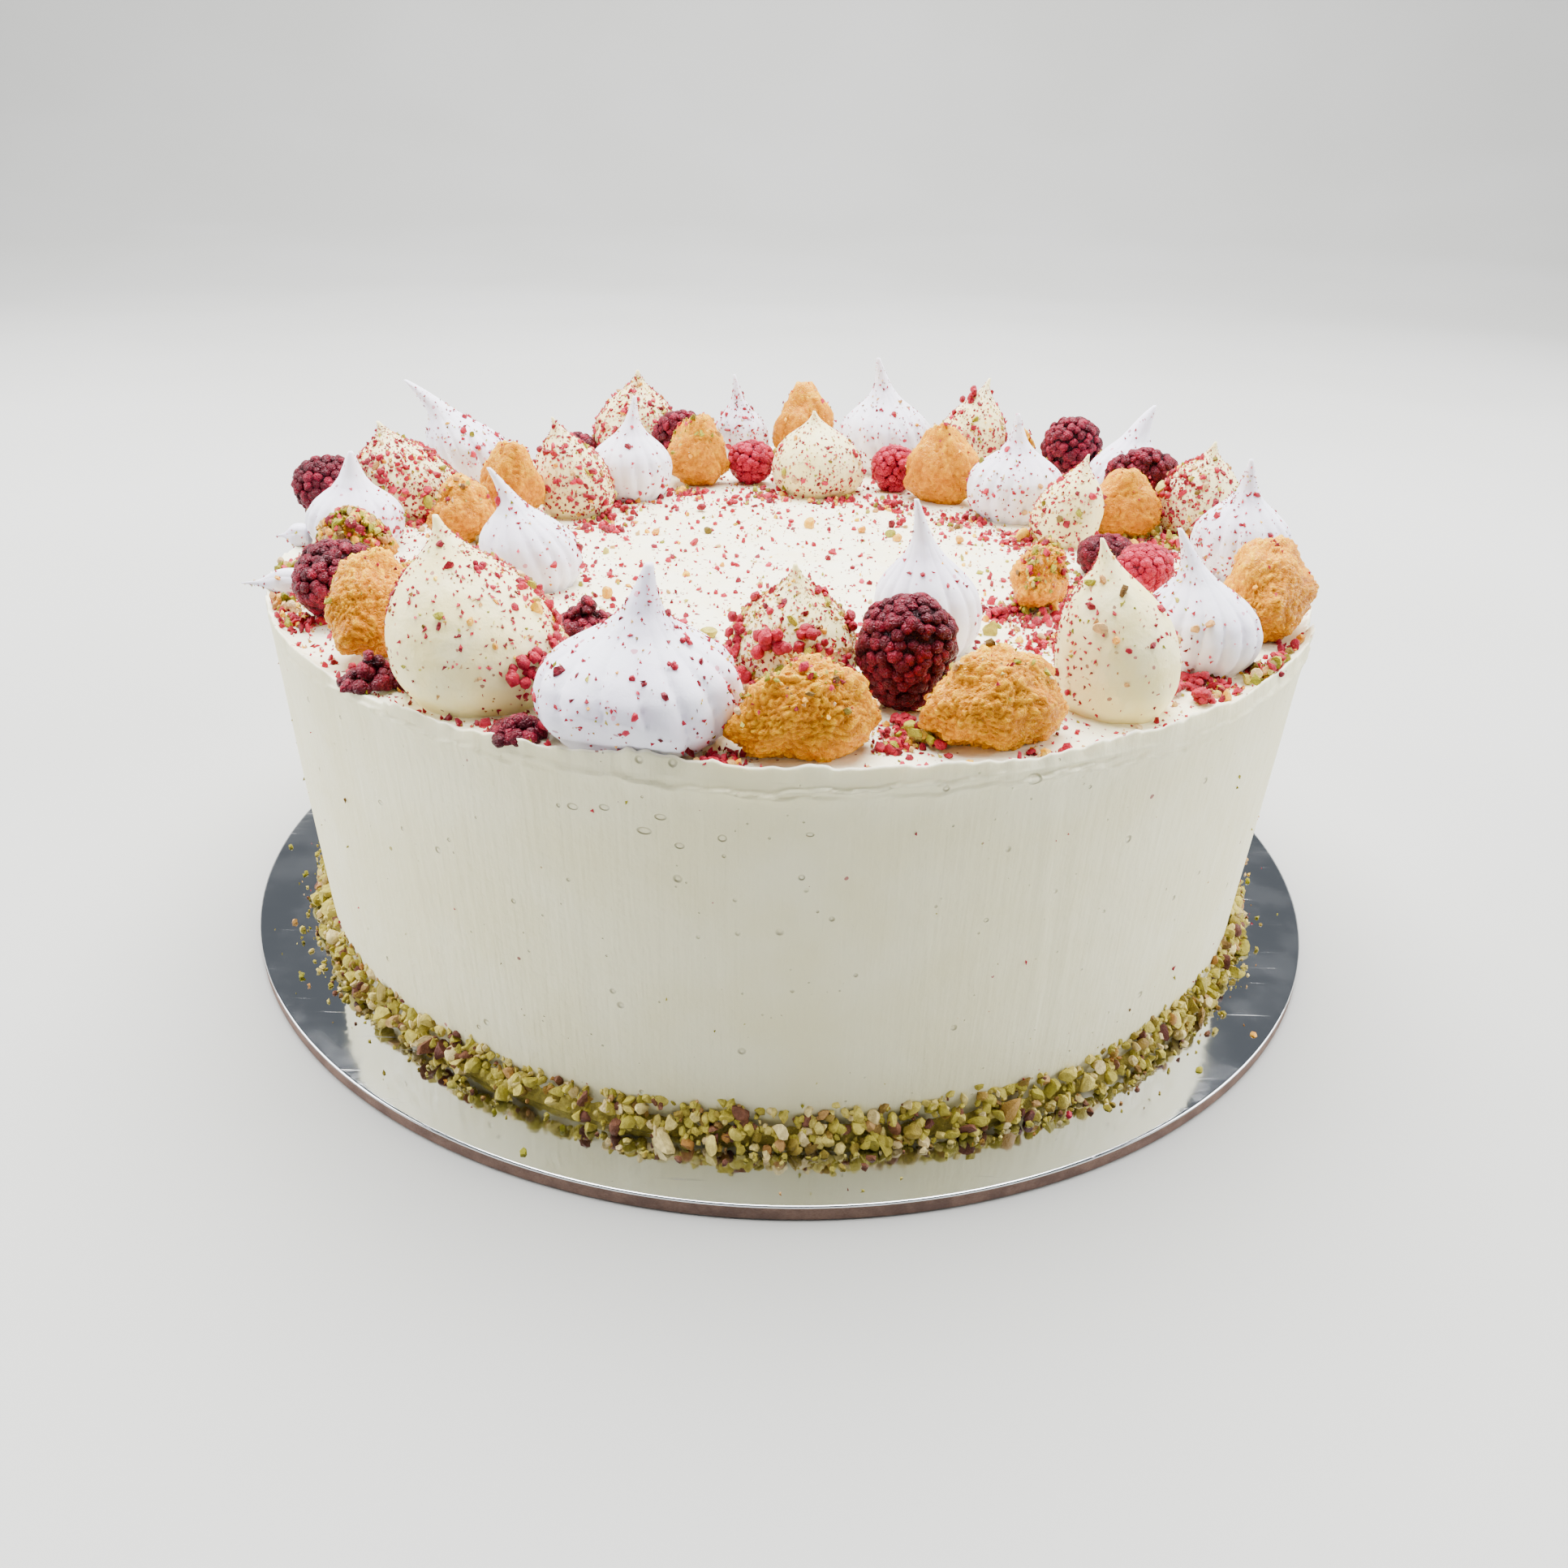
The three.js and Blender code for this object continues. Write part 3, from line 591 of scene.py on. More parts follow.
def make_orange(piece, finish, level, seed):
    """Juice sacs as long uneven grains in wandering folds, and ragged dried flesh along the top."""
    way, faces = ball(level)
    points = orange_form(way, piece)
    wander = np.stack([roughly(points, 6, seed + k) for k in (5, 6, 7)], axis=1)
    grains = (points + 3.0 * wander) * np.array([0.5, 0.95, 0.8])
    sacs = cells(grains, 1.15, seed)
    crests = folds(points + 1.5 * wander, 2.9, seed + 1)
    lumps = roughly(points, 8, seed + 2)
    ragged = np.clip(way[:, 2], 0, 1) * roughly(points, 1.3, seed + 3)
    swell = 0.75 * sacs**0.6 + 0.35 * crests**2 + 1.5 * lumps + 0.7 * ragged - 0.8
    # The tone is painted darker in the seams between the sacs, as painted shade, and lighter on the sacs'
    # middles and the crests, as painted highlight; it is also paler towards the top.
    tone = 0.05 + 0.5 * sacs + 0.2 * crests**2 + 0.25 * np.clip(way[:, 2], 0, 1) ** 2 + 0.3 * ragged
    points = points + way * swell[:, None]
    batch = Batch()
    batch.add(press_into_cream(set_in_place(points, piece)), faces, 0, np.clip(tone, 0, 1))
    batch.make(piece["name"] + "_dried", [finish], "dried_orange", [piece["name"]])


def raspberry_form(way, piece):
    """The egg of a raspberry, wide end up, for points on a ball of radius 1."""
    along, across, up = piece["size"]
    taper = 1 + 0.16 * way[:, 2]
    return np.stack([way[:, 0] * along * taper, way[:, 1] * across * taper, way[:, 2] * up], axis=1)


def spread_ways(count):
    """Directions spread evenly round a ball."""
    place = np.arange(count) + 0.5
    z = 1 - 2 * place / count
    turn = place * math.pi * (3 - math.sqrt(5))
    flat = np.sqrt(1 - z * z)
    return np.stack([flat * np.cos(turn), flat * np.sin(turn), z], axis=1)


def add_drupelet(batch, place, way, radius, random, tone):
    """One bead of a raspberry, shrivelled as it dried and dented all over. Its tone is painted lighter on
    its crests, its swellings and the side that faces out, and darker on the side that faces in, as painted
    light and painted shade between the beads.
    """
    points, faces = ball(2)
    along = points @ way
    shape = points - 0.2 * along[:, None] * way[None, :]
    seed = 50 * random.random()
    dents = roughly(points, 0.7, seed)
    creases = folds(points, 0.9, seed + 7) ** 2
    size = radius * (1 + 0.26 * dents + 0.16 * creases)
    # lit paints light and shade into the bead's tone: lighter where it faces out and on its crests and
    # swellings, darker where it faces in between the beads.
    lit = np.clip(0.35 + 0.35 * along + 0.5 * creases + 0.35 * dents, 0, 1)
    batch.add(place + shape * size[:, None], faces, 0, tone * lit)


def make_raspberry(piece, finish, bead, seed):
    """A core packed round with beads, sagging where it dried; the core's tone is painted at its darkest, as
    painted shade in the gaps between the beads.
    """
    random = np.random.default_rng(seed)
    batch = Batch()
    way, faces = ball(4)
    core = raspberry_form(way, piece) - way * 0.75 * bead
    core = core + way * (0.4 * roughly(core, 3, seed))[:, None]
    # The core is painted at the darkest tone, as painted shade seen between the beads.
    batch.add(press_into_cream(set_in_place(core, piece)), faces, 0, 0.05)
    along, across, up = piece["size"]
    area = 4 * math.pi * ((along * across + across * up + along * up) / 3)
    ways = spread_ways(int(area / (2.5 * bead * bead)))
    ways = ways + random.normal(0, 0.05, ways.shape)
    ways /= np.linalg.norm(ways, axis=1)[:, None]
    sagged = 0.9 * roughly(raspberry_form(ways, piece), 6, seed + 3) - 0.75 * bead
    centres = raspberry_form(ways, piece) + ways * sagged[:, None]
    placed_centres = set_in_place(centres, piece)
    frame_of = turn_about(0, 0, piece["yaw"]) @ turn_about(piece["tip"], 0, 0)
    for centre, facing in zip(placed_centres, ways @ frame_of.T):
        if centre[2] < TOP_Z - 0.3 * bead:
            continue
        radius = bead * random.uniform(0.8, 1.18)
        add_drupelet(batch, centre, facing, radius, random, random.uniform(0.45, 1))
    batch.points = [press_into_cream(points) for points in batch.points]
    batch.make(piece["name"] + "_dried", [finish], "dried_raspberry", [piece["name"]])


CLUMP_BEADS = 70


def make_clump(piece, finish, seed):
    """Beads of a raspberry that has fallen apart, heaped round the place."""
    random = np.random.default_rng(seed)
    batch = Batch()
    for _ in range(CLUMP_BEADS):
        angle = random.uniform(0, 2 * math.pi)
        out = piece["r"] * random.random() ** 0.7 * 0.95
        rise = 0.9 + random.random() * max(0.3, 0.95 * piece["r"] - out)
        x = piece["x"] + out * math.cos(angle)
        y = piece["y"] + out * math.sin(angle)
        place = np.array([x, y, TOP_Z + rise])
        way = np.array([math.cos(angle), math.sin(angle), 1.0]) / math.sqrt(2)
        add_drupelet(batch, place, way, random.uniform(0.95, 1.7), random, random.uniform(0.4, 1))
    batch.points = [press_into_cream(points) for points in batch.points]
    batch.make(piece["name"] + "_drupelets", [finish], "dried_raspberry", [piece["name"]])
# Chips and crumbs.


def chip_shape(random, level, cuts):
    """A chopped scrap of radius about 1: an uneven ball with flat cuts across it."""
    points, faces = ball(level)
    points = points * np.array([1, random.uniform(0.5, 0.95), random.uniform(0.45, 0.85)])
    for _ in range(cuts):
        way = random.normal(size=3)
        way /= np.linalg.norm(way)
        over = np.maximum(0, points @ way - random.uniform(0.2, 0.55))
        points = points - over[:, None] * way
    return points @ any_turn(random).T, faces


def shard_shape(random):
    """A small angular scrap: a rough ball of twenty faces with its corners pulled in or out."""
    points, faces = ball(1)
    points = points * random.uniform(0.6, 1.15, (len(points), 1))
    points = points * np.array([1, random.uniform(0.5, 0.95), random.uniform(0.45, 0.85)])
    return points @ any_turn(random).T, faces


FLAKE_CORNERS = np.array([(1, 0, 0), (-0.6, 0.8, 0), (-0.6, -0.8, 0), (0, 0, 1), (0, 0, -1)], float)
FLAKE_FACES = np.array([(0, 1, 3), (1, 2, 3), (2, 0, 3), (1, 0, 4), (2, 1, 4), (0, 2, 4)])
SPECK_FACES = np.array([(0, 1, 3), (1, 2, 3), (2, 0, 3), (1, 0, 2)])


def flake_shape(random, corners=5):
    """A fine crumb: six uneven faces, longer one way, or a speck with four corners."""
    points = FLAKE_CORNERS[:corners] * random.uniform(0.65, 1.1, (corners, 1)) * np.array([1.1, 0.8, 0.55])
    return points @ any_turn(random).T, FLAKE_FACES if corners == 5 else SPECK_FACES


CRUMB_KINDS = ["raspberry", "pistachio", "orange", "pale"]


class Crumbs:
    """Crumbs of each kind, gathered over the whole cake, one batch for a kind."""

    def __init__(self):
        self.batches = {kind: Batch() for kind in CRUMB_KINDS}

    def drop(self, kind, place, size, random):
        """One crumb: a fine one is a flake, a middling one a shard, a large one a chip with cut sides."""
        if size < 1:
            points, faces = flake_shape(random, 4 if size < 0.6 else 5)
        else:
            points, faces = shard_shape(random) if size < 1.7 else chip_shape(random, 2, 5)
        self.batches[kind].add(place + points * size, faces, 0, random.uniform(0, 1))

    def any_kind(self, random, shares):
        return CRUMB_KINDS[int(random.choice(4, p=shares))]

    def berry_bit(self, place, way, beads, bead, spread, random):
        """A broken piece of raspberry: a few beads together on a surface that faces the way given."""
        way = np.array(way, float) / np.linalg.norm(way)
        for _ in range(int(1.3 * beads)):
            off = random.normal(size=3) * spread * 0.42
            off = off - (off @ way - abs(off @ way) * 0.7) * way
            size = bead * random.uniform(0.42, 0.74)
            centre = place + off + 0.3 * size * way
            add_drupelet(self.batches["raspberry"], centre, way, size, random, random.uniform(0.35, 0.9))


# The share of each kind, in the order of CRUMB_KINDS.
TOP_SHARES = [0.74, 0.1, 0.08, 0.08]
LARGE_SHARES = [0.5, 0.3, 0.2, 0.0]
KISS_SHARES = [0.78, 0.07, 0.04, 0.11]
CRUSTED_SHARES = [0.42, 0.14, 0.12, 0.32]
NUTTY_SHARES = [0.22, 0.43, 0.15, 0.2]
WALL_SHARES = [0.35, 0.5, 0.1, 0.05]
BOARD_SHARES = [0.12, 0.62, 0.08, 0.18]

# How many fine crumbs lie on the top, on the wall and on the board, and how far out on the top.
TOP_CRUMBS = 7000
WALL_CRUMBS = 190
BOARD_CRUMBS = 170
TOP_REACH = 134.5
DRIFT_REACH = 135


def footprints():
    """The circle that each topping takes up on the top."""
    kisses = [(p["x"], p["y"], p["r"]) for p in MERINGUES + LYING_MERINGUES + CREAM_KISSES + CLUMPS]
    fruit = [(p["x"], p["y"], p["size"][0]) for p in ORANGES + RASPBERRIES]
    return np.array(kisses + fruit)


# Where crumbs have gathered on the top: x, y, spread and number.
DRIFTS = [
    (-58, -124, 8, 150), (-86, -97, 6, 60), (93, -86, 6, 120), (106, -76, 5, 90), (54, -44, 9, 170),
    (-36, -78, 6, 90), (-57, 26, 9, 130), (-78, -3, 9, 170), (-96, -22, 10, 200), (-104, 24, 8, 140),
    (-52, 52, 8, 100), (-34, 66, 8, 90), (14, 62, 9, 100), (50, 40, 9, 130), (66, 20, 10, 150),
    (74, -22, 10, 220), (60, -62, 8, 130), (18, -72, 7, 110), (-16, -84, 6, 80), (22, -119, 6, 130),
    (-12, -132, 4, 150), (121, -63, 5, 110), (-124, -50, 5, 110), (-128, -18, 4, 90), (-116, -62, 6, 110),
    (128, -30, 5, 80), (106, 16, 8, 120), (30, 58, 8, 90), (-8, 66, 8, 90), (104, 50, 5, 90),
    (-70, -50, 9, 130), (40, 88, 8, 60), (88, 60, 7, 80), (-34, -132, 5, 80), (50, -126, 6, 60),
]

# Where chopped nuts and orange have gathered on the top: x, y, spread and number.
NUT_DRIFTS = [
    (-130, -27, 5, 60), (-129, -38, 4, 50), (-123, -52, 4, 50), (-126, -12, 4, 30), (-108, -34, 6, 60),
    (-113, -16, 6, 70), (106, -82, 4, 40), (112, -74, 4, 30), (112, 22, 6, 80), (104, 30, 5, 50),
    (62, -37, 6, 60), (-98, 52, 6, 60), (27, -120, 4, 30), (-120, 24, 5, 50), (74, 24, 5, 30),
]

# Broken pieces of raspberry on the top: x, y, beads, size of a bead and spread.
TOP_BERRY_BITS = [
    (-75, 18, 8, 1.6, 2.4), (-68, 12, 9, 1.7, 2.6), (-55, 35, 9, 1.7, 2.8), (-51, 43, 6, 1.5, 2.2),
    (-28, 45, 3, 2.1, 1.4), (-19, 54, 4, 1.3, 1.8), (33, -97, 3, 1.4, 1.6), (23, -112, 12, 1.5, 3.6),
    (52, -45, 7, 1.7, 2.6), (57, -40, 6, 1.5, 2.4), (61, -34, 6, 1.6, 2.4), (84, -90, 12, 1.9, 3.4),
    (88, -95, 9, 1.7, 3.0), (90, -85, 8, 1.7, 2.8), (110, -76, 9, 1.5, 3.0), (113, -68, 5, 1.3, 2.4),
    (0, 34, 1, 1.9, 1), (33, 35, 2, 1.9, 1.4), (32, 57, 7, 1.6, 3.4), (73, -31, 7, 1.7, 2.6),
    (70, -22, 6, 1.7, 2.6), (-90, -93, 10, 1.5, 4.0), (-15, -90, 7, 1.5, 2.6), (-41, -70, 5, 1.4, 2.4),
    (-98, -36, 6, 1.5, 3.0), (8, -70, 5, 1.3, 2.4), (101, 12, 5, 1.4, 2.6), (40, 52, 4, 1.4, 2.4),
]

# Single chunks on the top: kind, x, y and size.
CHUNKS = [
    ("orange", -46, -38, 2.4), ("pistachio", -24, 21, 1.9), ("pistachio", -51, -1, 1.5),
    ("pistachio", -19, -64, 2.8), ("orange", 49, 18, 2.2), ("orange", 68, 23, 3.2),
    ("pistachio", 48, -57, 3.2), ("pistachio", 67, -5, 2.4), ("pistachio", 66, -26, 3.2),
    ("pistachio", 101, -84, 2.3), ("orange", 94, -94, 2.1), ("orange", 106, -83, 1.7),
    ("orange", 31, 20, 2.3), ("orange", 6, 30, 2.6), ("orange", 21, 27, 2.0),
    ("pistachio", 48, 2, 1.4), ("pistachio", -49, -125, 2.0), ("orange", -39, 19, 1.6),
    ("pistachio", 12, -113, 2.4), ("pistachio", 27, -117, 2.2), ("pale", 33, -80, 2.2),
    ("orange", 70, -38, 2.6), ("orange", -92, -30, 2.4), ("pistachio", -100, -30, 2.6),
    ("pistachio", -87, 2, 2.4), ("pistachio", 18, 64, 1.8), ("orange", 100, 20, 2.0),
    ("pistachio", 112, 20, 2.4),
]

# What is stuck to each kiss: the turn round it in degrees, the share of its height, kind, size and,
# for a piece of raspberry, its beads.
STUCK = {
    "cream_kiss_02": [
        (-112, 0.5, "raspberry", 2.1, 8), (-78, 0.56, "raspberry", 1.9, 6),
        (-60, 0.5, "raspberry", 1.4, 4), (-160, 0.52, "raspberry", 1.7, 6),
        (-178, 0.7, "raspberry", 1.3, 4), (-6, 0.56, "raspberry", 1.6, 6),
        (-10, 0.8, "raspberry", 1.1, 3), (-150, 0.36, "raspberry", 1.7, 6),
        (-132, 0.22, "raspberry", 1.9, 6), (-158, 0.15, "raspberry", 1.5, 5),
        (-40, 0.3, "raspberry", 1.5, 4), (-100, 0.32, "pistachio", 1.9, 1),
    ],
    "cream_kiss_01": [
        (-51, 0.28, "raspberry", 1.9, 6), (-39, 0.3, "raspberry", 1.6, 5),
        (-20, 0.4, "raspberry", 1.5, 4), (-6, 0.44, "raspberry", 1.4, 4),
        (-36, 0.77, "raspberry", 1.3, 5), (-15, 0.53, "orange", 2.2, 1), (-96, 0.58, "pistachio", 1.5, 1),
        (10, 0.6, "pistachio", 1.6, 1),
    ],
    "cream_kiss_03": [
        (-78, 0.76, "pistachio", 1.8, 1), (-102, 0.52, "orange", 1.5, 1), (-117, 0.57, "pale", 1.9, 1),
        (-150, 0.77, "pistachio", 1.6, 1), (-120, 0.8, "pale", 1.4, 1), (-150, 0.12, "raspberry", 1.2, 2),
        (170, 0.5, "raspberry", 1.4, 4),
    ],
    "cream_kiss_04": [(-114, 0.35, "pistachio", 1.5, 1), (-156, 0.47, "pistachio", 1.5, 1)],
    "cream_kiss_05": [(180, 0.5, "pistachio", 2.9, 1), (-159, 0.53, "raspberry", 1.6, 4)],
    "cream_kiss_06": [(-156, 0.82, "raspberry", 1.8, 5), (-150, 0.68, "raspberry", 1.6, 3)],
    "cream_kiss_07": [(-27, 0.52, "raspberry", 1.3, 3), (-20, 0.3, "raspberry", 1.2, 3)],
    "cream_kiss_09": [(-168, 0.3, "raspberry", 1.4, 4)],
    "cream_kiss_10": [(-57, 0.2, "pistachio", 3.2, 1), (-100, 0.5, "raspberry", 1.5, 5)],
    "meringue_01": [(-24, 0.6, "raspberry", 1.1, 3), (-60, 0.54, "raspberry", 0.9, 2)],
    "meringue_02": [(-111, 0.4, "pale", 1.7, 1), (-129, 0.3, "pale", 1.5, 1), (-96, 0.44, "pale", 1.5, 1)],
    "meringue_05": [(-69, 0.4, "pale", 1.6, 1)],
    "meringue_06": [(-75, 0.55, "pale", 1.4, 1)],
    "meringue_09": [(-60, 0.4, "raspberry", 1.1, 2)],
}


def top_level(x, y):
    """The height of the top's cream at a place, with the slope up to the lip."""
    out = math.hypot(x, y)
    inner = RIM_RADIUS - 1.25 * LIP_WIDTH
    if out < inner:
        return TOP_Z
    share = min(1, (out - inner) / (0.95 * LIP_WIDTH))
    return TOP_Z + float(lip_height(math.atan2(y, x))) * share**2.2


def drifted(drifts, random):
    """The places of crumbs gathered in drifts, those that would fall over the edge left out."""
    for x, y, spread, count in drifts:
        for _ in range(count):
            place = random.normal((x, y), 0.55 * spread)
            if math.hypot(*place) <= DRIFT_REACH:
                yield place


def strew_top(crumbs):
    """Crumbs over the top, close together beside the toppings and sparser in the open."""
    random = np.random.default_rng(11)
    taken = footprints()
    strewn = 0
    while strewn < TOP_CRUMBS:
        out = TOP_REACH * math.sqrt(random.random())
        angle = random.uniform(-math.pi, math.pi)
        x, y = out * math.cos(angle), out * math.sin(angle)
        clear = float(np.min(np.hypot(taken[:, 0] - x, taken[:, 1] - y) - 0.86 * taken[:, 2]))
        if clear < 0 or random.random() > 0.45 + 0.75 * math.exp(-clear / 8):
            continue
        size = 0.4 + 0.85 * random.random() ** 2.4
        place = np.array([x, y, top_level(x, y) + 0.2 * size])
        crumbs.drop(crumbs.any_kind(random, TOP_SHARES), place, size, random)
        strewn += 1
    for px, py in drifted(DRIFTS, random):
        size = 0.5 + 1.3 * random.random() ** 2.2
        place = np.array([px, py, top_level(px, py) + 0.3 * size])
        crumbs.drop(crumbs.any_kind(random, TOP_SHARES), place, size, random)
    for px, py in drifted(NUT_DRIFTS, random):
        size = 0.7 + 1.5 * random.random() ** 1.8
        place = np.array([px, py, top_level(px, py) + random.uniform(0.3, 1.6) * size])
        crumbs.drop(crumbs.any_kind(random, NUTTY_SHARES), place, size, random)
    for x, y, beads, bead, spread in TOP_BERRY_BITS:
        crumbs.berry_bit(np.array([x, y, TOP_Z + 0.3 * bead]), (0, 0, 1), beads, bead, spread, random)
    for kind, x, y, size in CHUNKS:
        crumbs.drop(kind, np.array([x, y, TOP_Z + 0.45 * size]), size, random)


def strew_large(crumbs):
    """The larger crumbs of the top, where the solid has them."""
    random = np.random.default_rng(12)
    draw = seeded_stream(LARGE_CRUMBS["seed"])
    low, high = LARGE_CRUMBS["size"]
    taken = footprints()
    strewn = 0
    while strewn < LARGE_CRUMBS["count"]:
        out = LARGE_CRUMBS["field"] * math.sqrt(next(draw))
        angle = 2 * math.pi * next(draw)
        size = low + (high - low) * next(draw) ** 2
        x, y = out * math.cos(angle), out * math.sin(angle)
        away = np.hypot(taken[:, 0] - x, taken[:, 1] - y)
        if not np.all(away > taken[:, 2] * 1.25 + size + 2):
            continue
        for _ in range(5):
            next(draw)
        place = np.array([x, y, TOP_Z + 0.25 * size])
        crumbs.drop(crumbs.any_kind(random, LARGE_SHARES), place, 0.85 * size, random)
        strewn += 1


def strew_kiss(crumbs, kiss, count, shares, seed):
    """Crumbs stuck to a kiss, most of them high up and on the side that faces the cake's middle."""
    random = np.random.default_rng(seed)
    piece = kiss.piece
    inward = math.atan2(-piece["y"], -piece["x"])
    turns, ups = [], []
    while len(turns) < count:
        turn = random.uniform(-math.pi, math.pi)
        up = random.uniform(0.02, 0.95) ** 0.85
        facing = 0.5 + 0.5 * math.cos(turn - inward)
        breadth = 0.1 + 0.9 * float(np.interp(up, kiss.up, kiss.out))
        if random.random() < breadth * (piece.get("spread", 0.05) + 0.75 * facing**1.8 + 0.35 * up * up):
            turns.append(turn)
            ups.append(up)
    for place in kiss.at(np.array(turns), np.array(ups)):
        size = 0.42 + 0.6 * random.random() ** 1.7
        size *= min(1, 0.45 + 1.6 * (1 - (place[2] - TOP_Z) / piece["h"]))
        if random.random() < piece.get("coarse", 0.06):
            size *= 1.8
        crumbs.drop(crumbs.any_kind(random, shares), place, size, random)


def stick_pieces(crumbs, kisses):
    """The larger pieces that lie against a kiss or are stuck to it."""
    random = np.random.default_rng(13)
    rows = [(kisses[name], *row) for name, stuck in STUCK.items() for row in stuck]
    for kiss, degrees, up, kind, size, beads in rows:
        turn = math.radians(degrees)
        place = kiss.at(np.array([turn]), np.array([up]))[0]
        way = np.array([math.cos(turn), math.sin(turn), 0.5])
        if beads > 1:
            crumbs.berry_bit(place, way, beads, size, 1.9 * size, random)
        else:
            crumbs.drop(kind, place + 0.15 * size * way, size, random)


def strew_fruit(crumbs, piece, count, seed, shares):
    """Crumbs on the upper side of an orange piece."""
    random = np.random.default_rng(seed)
    way = random.normal(size=(count, 3))
    way[:, 2] = np.abs(way[:, 2]) + 0.4
    way /= np.linalg.norm(way, axis=1)[:, None]
    for place in set_in_place(orange_form(way, piece) * 1.02, piece):
        size = 0.45 + (0.7 + 0.6 * piece.get("nutty", 0)) * random.random() ** 2
        crumbs.drop(crumbs.any_kind(random, shares), place, size, random)


def strew_wall(crumbs):
    """The few crumbs that have stuck to the wall, most of them low down, and lie on the board."""
    random = np.random.default_rng(14)
    for _ in range(WALL_CRUMBS):
        angle = random.uniform(-math.pi, math.pi)
        z = 13 + 76 * random.random() ** 2.6
        r = float(wall_radius(z)) + 0.1
        place = np.array([r * math.cos(angle), r * math.sin(angle), z])
        size = 0.3 + 0.6 * random.random() ** 2
        crumbs.drop(crumbs.any_kind(random, WALL_SHARES), place, size, random)
    for _ in range(BOARD_CRUMBS):
        angle = random.uniform(-math.pi, math.pi)
        r = 139 + 12 * random.random() ** 2.2
        size = 0.3 + 1.0 * random.random() ** 2.4
        place = np.array([r * math.cos(angle), r * math.sin(angle), BOARD_THICKNESS + 0.3 * size])
        crumbs.drop(crumbs.any_kind(random, BOARD_SHARES), place, size, random)


# Chopped pistachios at the foot.

NUT_CHIPS = 620
NUT_SHARDS = 2300
NUT_STRAYS = 420  # that lie out on the board
NUT_TONES = [0.06, 0.2, 0.34, 0.48, 0.62, 0.76, 0.92]
NUT_TONE_SHARES = [0.1, 0.12, 0.22, 0.22, 0.16, 0.1, 0.08]


BANK_SIDES = 480
BANK_INSET = 2.4  # how far the bank stays inside the ring's outline, which the nuts fill out
BANK_DROP = 3.4


def nut_bank():
    """The low bank that the nuts are heaped on: its outline across, with uneven lumps."""
    angle = steps(0, 2 * math.pi, BANK_SIDES + 1)[:-1]
    rows = []
    for share in steps(0, 1, 9):
        foot = float(wall_radius(BOARD_THICKNESS))
        r = foot - 0.3 + (NUT_RING_WIDTH - BANK_INSET) * (1 - share) ** 0.9
        z = BOARD_THICKNESS + (NUT_RING_HEIGHT - BANK_DROP) * share
        place = np.stack([r * np.cos(angle), r * np.sin(angle), z + 0 * angle], axis=1)
        lumps = 0.9 * roughly(place, 1.7, 31) + 0.5 * roughly(place, 6, 32)
        rows.append((r + lumps * math.sin(math.pi * (0.15 + 0.7 * share)), z + 0.6 * lumps * share))
    rows.append((rows[-1][0] * 0 + wall_radius(10) - 1.5, rows[-1][1] * 0 + BOARD_THICKNESS + 4))
    rows.insert(0, (rows[0][0] * 0 + wall_radius(4) - 1.5, rows[0][1] * 0 + BOARD_THICKNESS + 0.1))
    radius = np.array([r for r, _ in rows])
    height = np.maximum(np.array([z for _, z in rows]), BOARD_THICKNESS + 0.05)
    return turned(radius, height, False, False)


def make_nuts(finish):
    """The bank with the larger nuts where the solid has them, and chips, shards and strays between."""
    random = np.random.default_rng(22)
    batch = Batch()
    points, quads, _ = nut_bank()
    batch.add(points, quads, 0, 0.52)

    def lay(angle, share, size, out_by, up_by, large=False):
        inner = float(wall_radius(BOARD_THICKNESS))
        out = inner + out_by + NUT_RING_WIDTH * (1 - 0.9 * share)
        z = BOARD_THICKNESS + NUT_RING_HEIGHT * 0.95 * share + up_by
        shape, faces = chip_shape(random, 2, 5) if large else shard_shape(random)
        place = np.array([out * math.cos(angle), out * math.sin(angle), z])
        nut = place + shape * size
        nut[:, 2] = np.maximum(nut[:, 2], BOARD_THICKNESS + 0.03)
        tone = float(random.choice(NUT_TONES, p=NUT_TONE_SHARES)) + random.uniform(-0.05, 0.05)
        batch.add(nut, faces, 0, tone)

    draw = seeded_stream(LARGE_NUTS["seed"])
    low, high = LARGE_NUTS["size"]
    for i in range(LARGE_NUTS["count"]):
        angle = 2 * math.pi * (i + next(draw)) / LARGE_NUTS["count"]
        share = next(draw)
        size = low + (high - low) * next(draw) ** 2
        for _ in range(5):
            next(draw)
        lay(angle, share, 0.95 * size, 0.3 + 0.15 * size, 0.12 * size, True)
    for _ in range(NUT_CHIPS):
        share = 1.05 * random.random() ** 0.8
        size = 1.7 + 1.3 * random.random() ** 1.4
        lay(random.uniform(-math.pi, math.pi), share, size, 0.2 * size, 0.25 * size, True)
    for _ in range(NUT_SHARDS):
        angle = random.uniform(-math.pi, math.pi)
        share = 1.2 * random.random() ** 0.9
        size = 0.8 + 1.2 * random.random() ** 1.5
        heap = 1.6 * math.sin(3 * angle + 1) * math.sin(11 * angle) + 1.2 * math.sin(29 * angle)
        lay(angle, min(share, 1.1), size, 0.1 * size, 0.2 * size + share * max(0, heap))
    for _ in range(NUT_STRAYS):
        size = 0.5 + 0.9 * random.random() ** 1.5
        lay(random.uniform(-math.pi, math.pi), 0, size, 1.0 + 4.2 * random.random() ** 2.2, 0.2)
    batch.make("chopped_pistachios", [finish], "pistachio", ["pistachio_ring"], sharp=32)


# Finishes.


def colour(red, green, blue):
    """A colour given as it looks on screen, from 0 to 255, as the shaders take it."""
    shares = [v / 255 for v in (red, green, blue)]
    return [v / 12.92 if v <= 0.04045 else ((v + 0.055) / 1.055) ** 2.4 for v in shares] + [1.0]


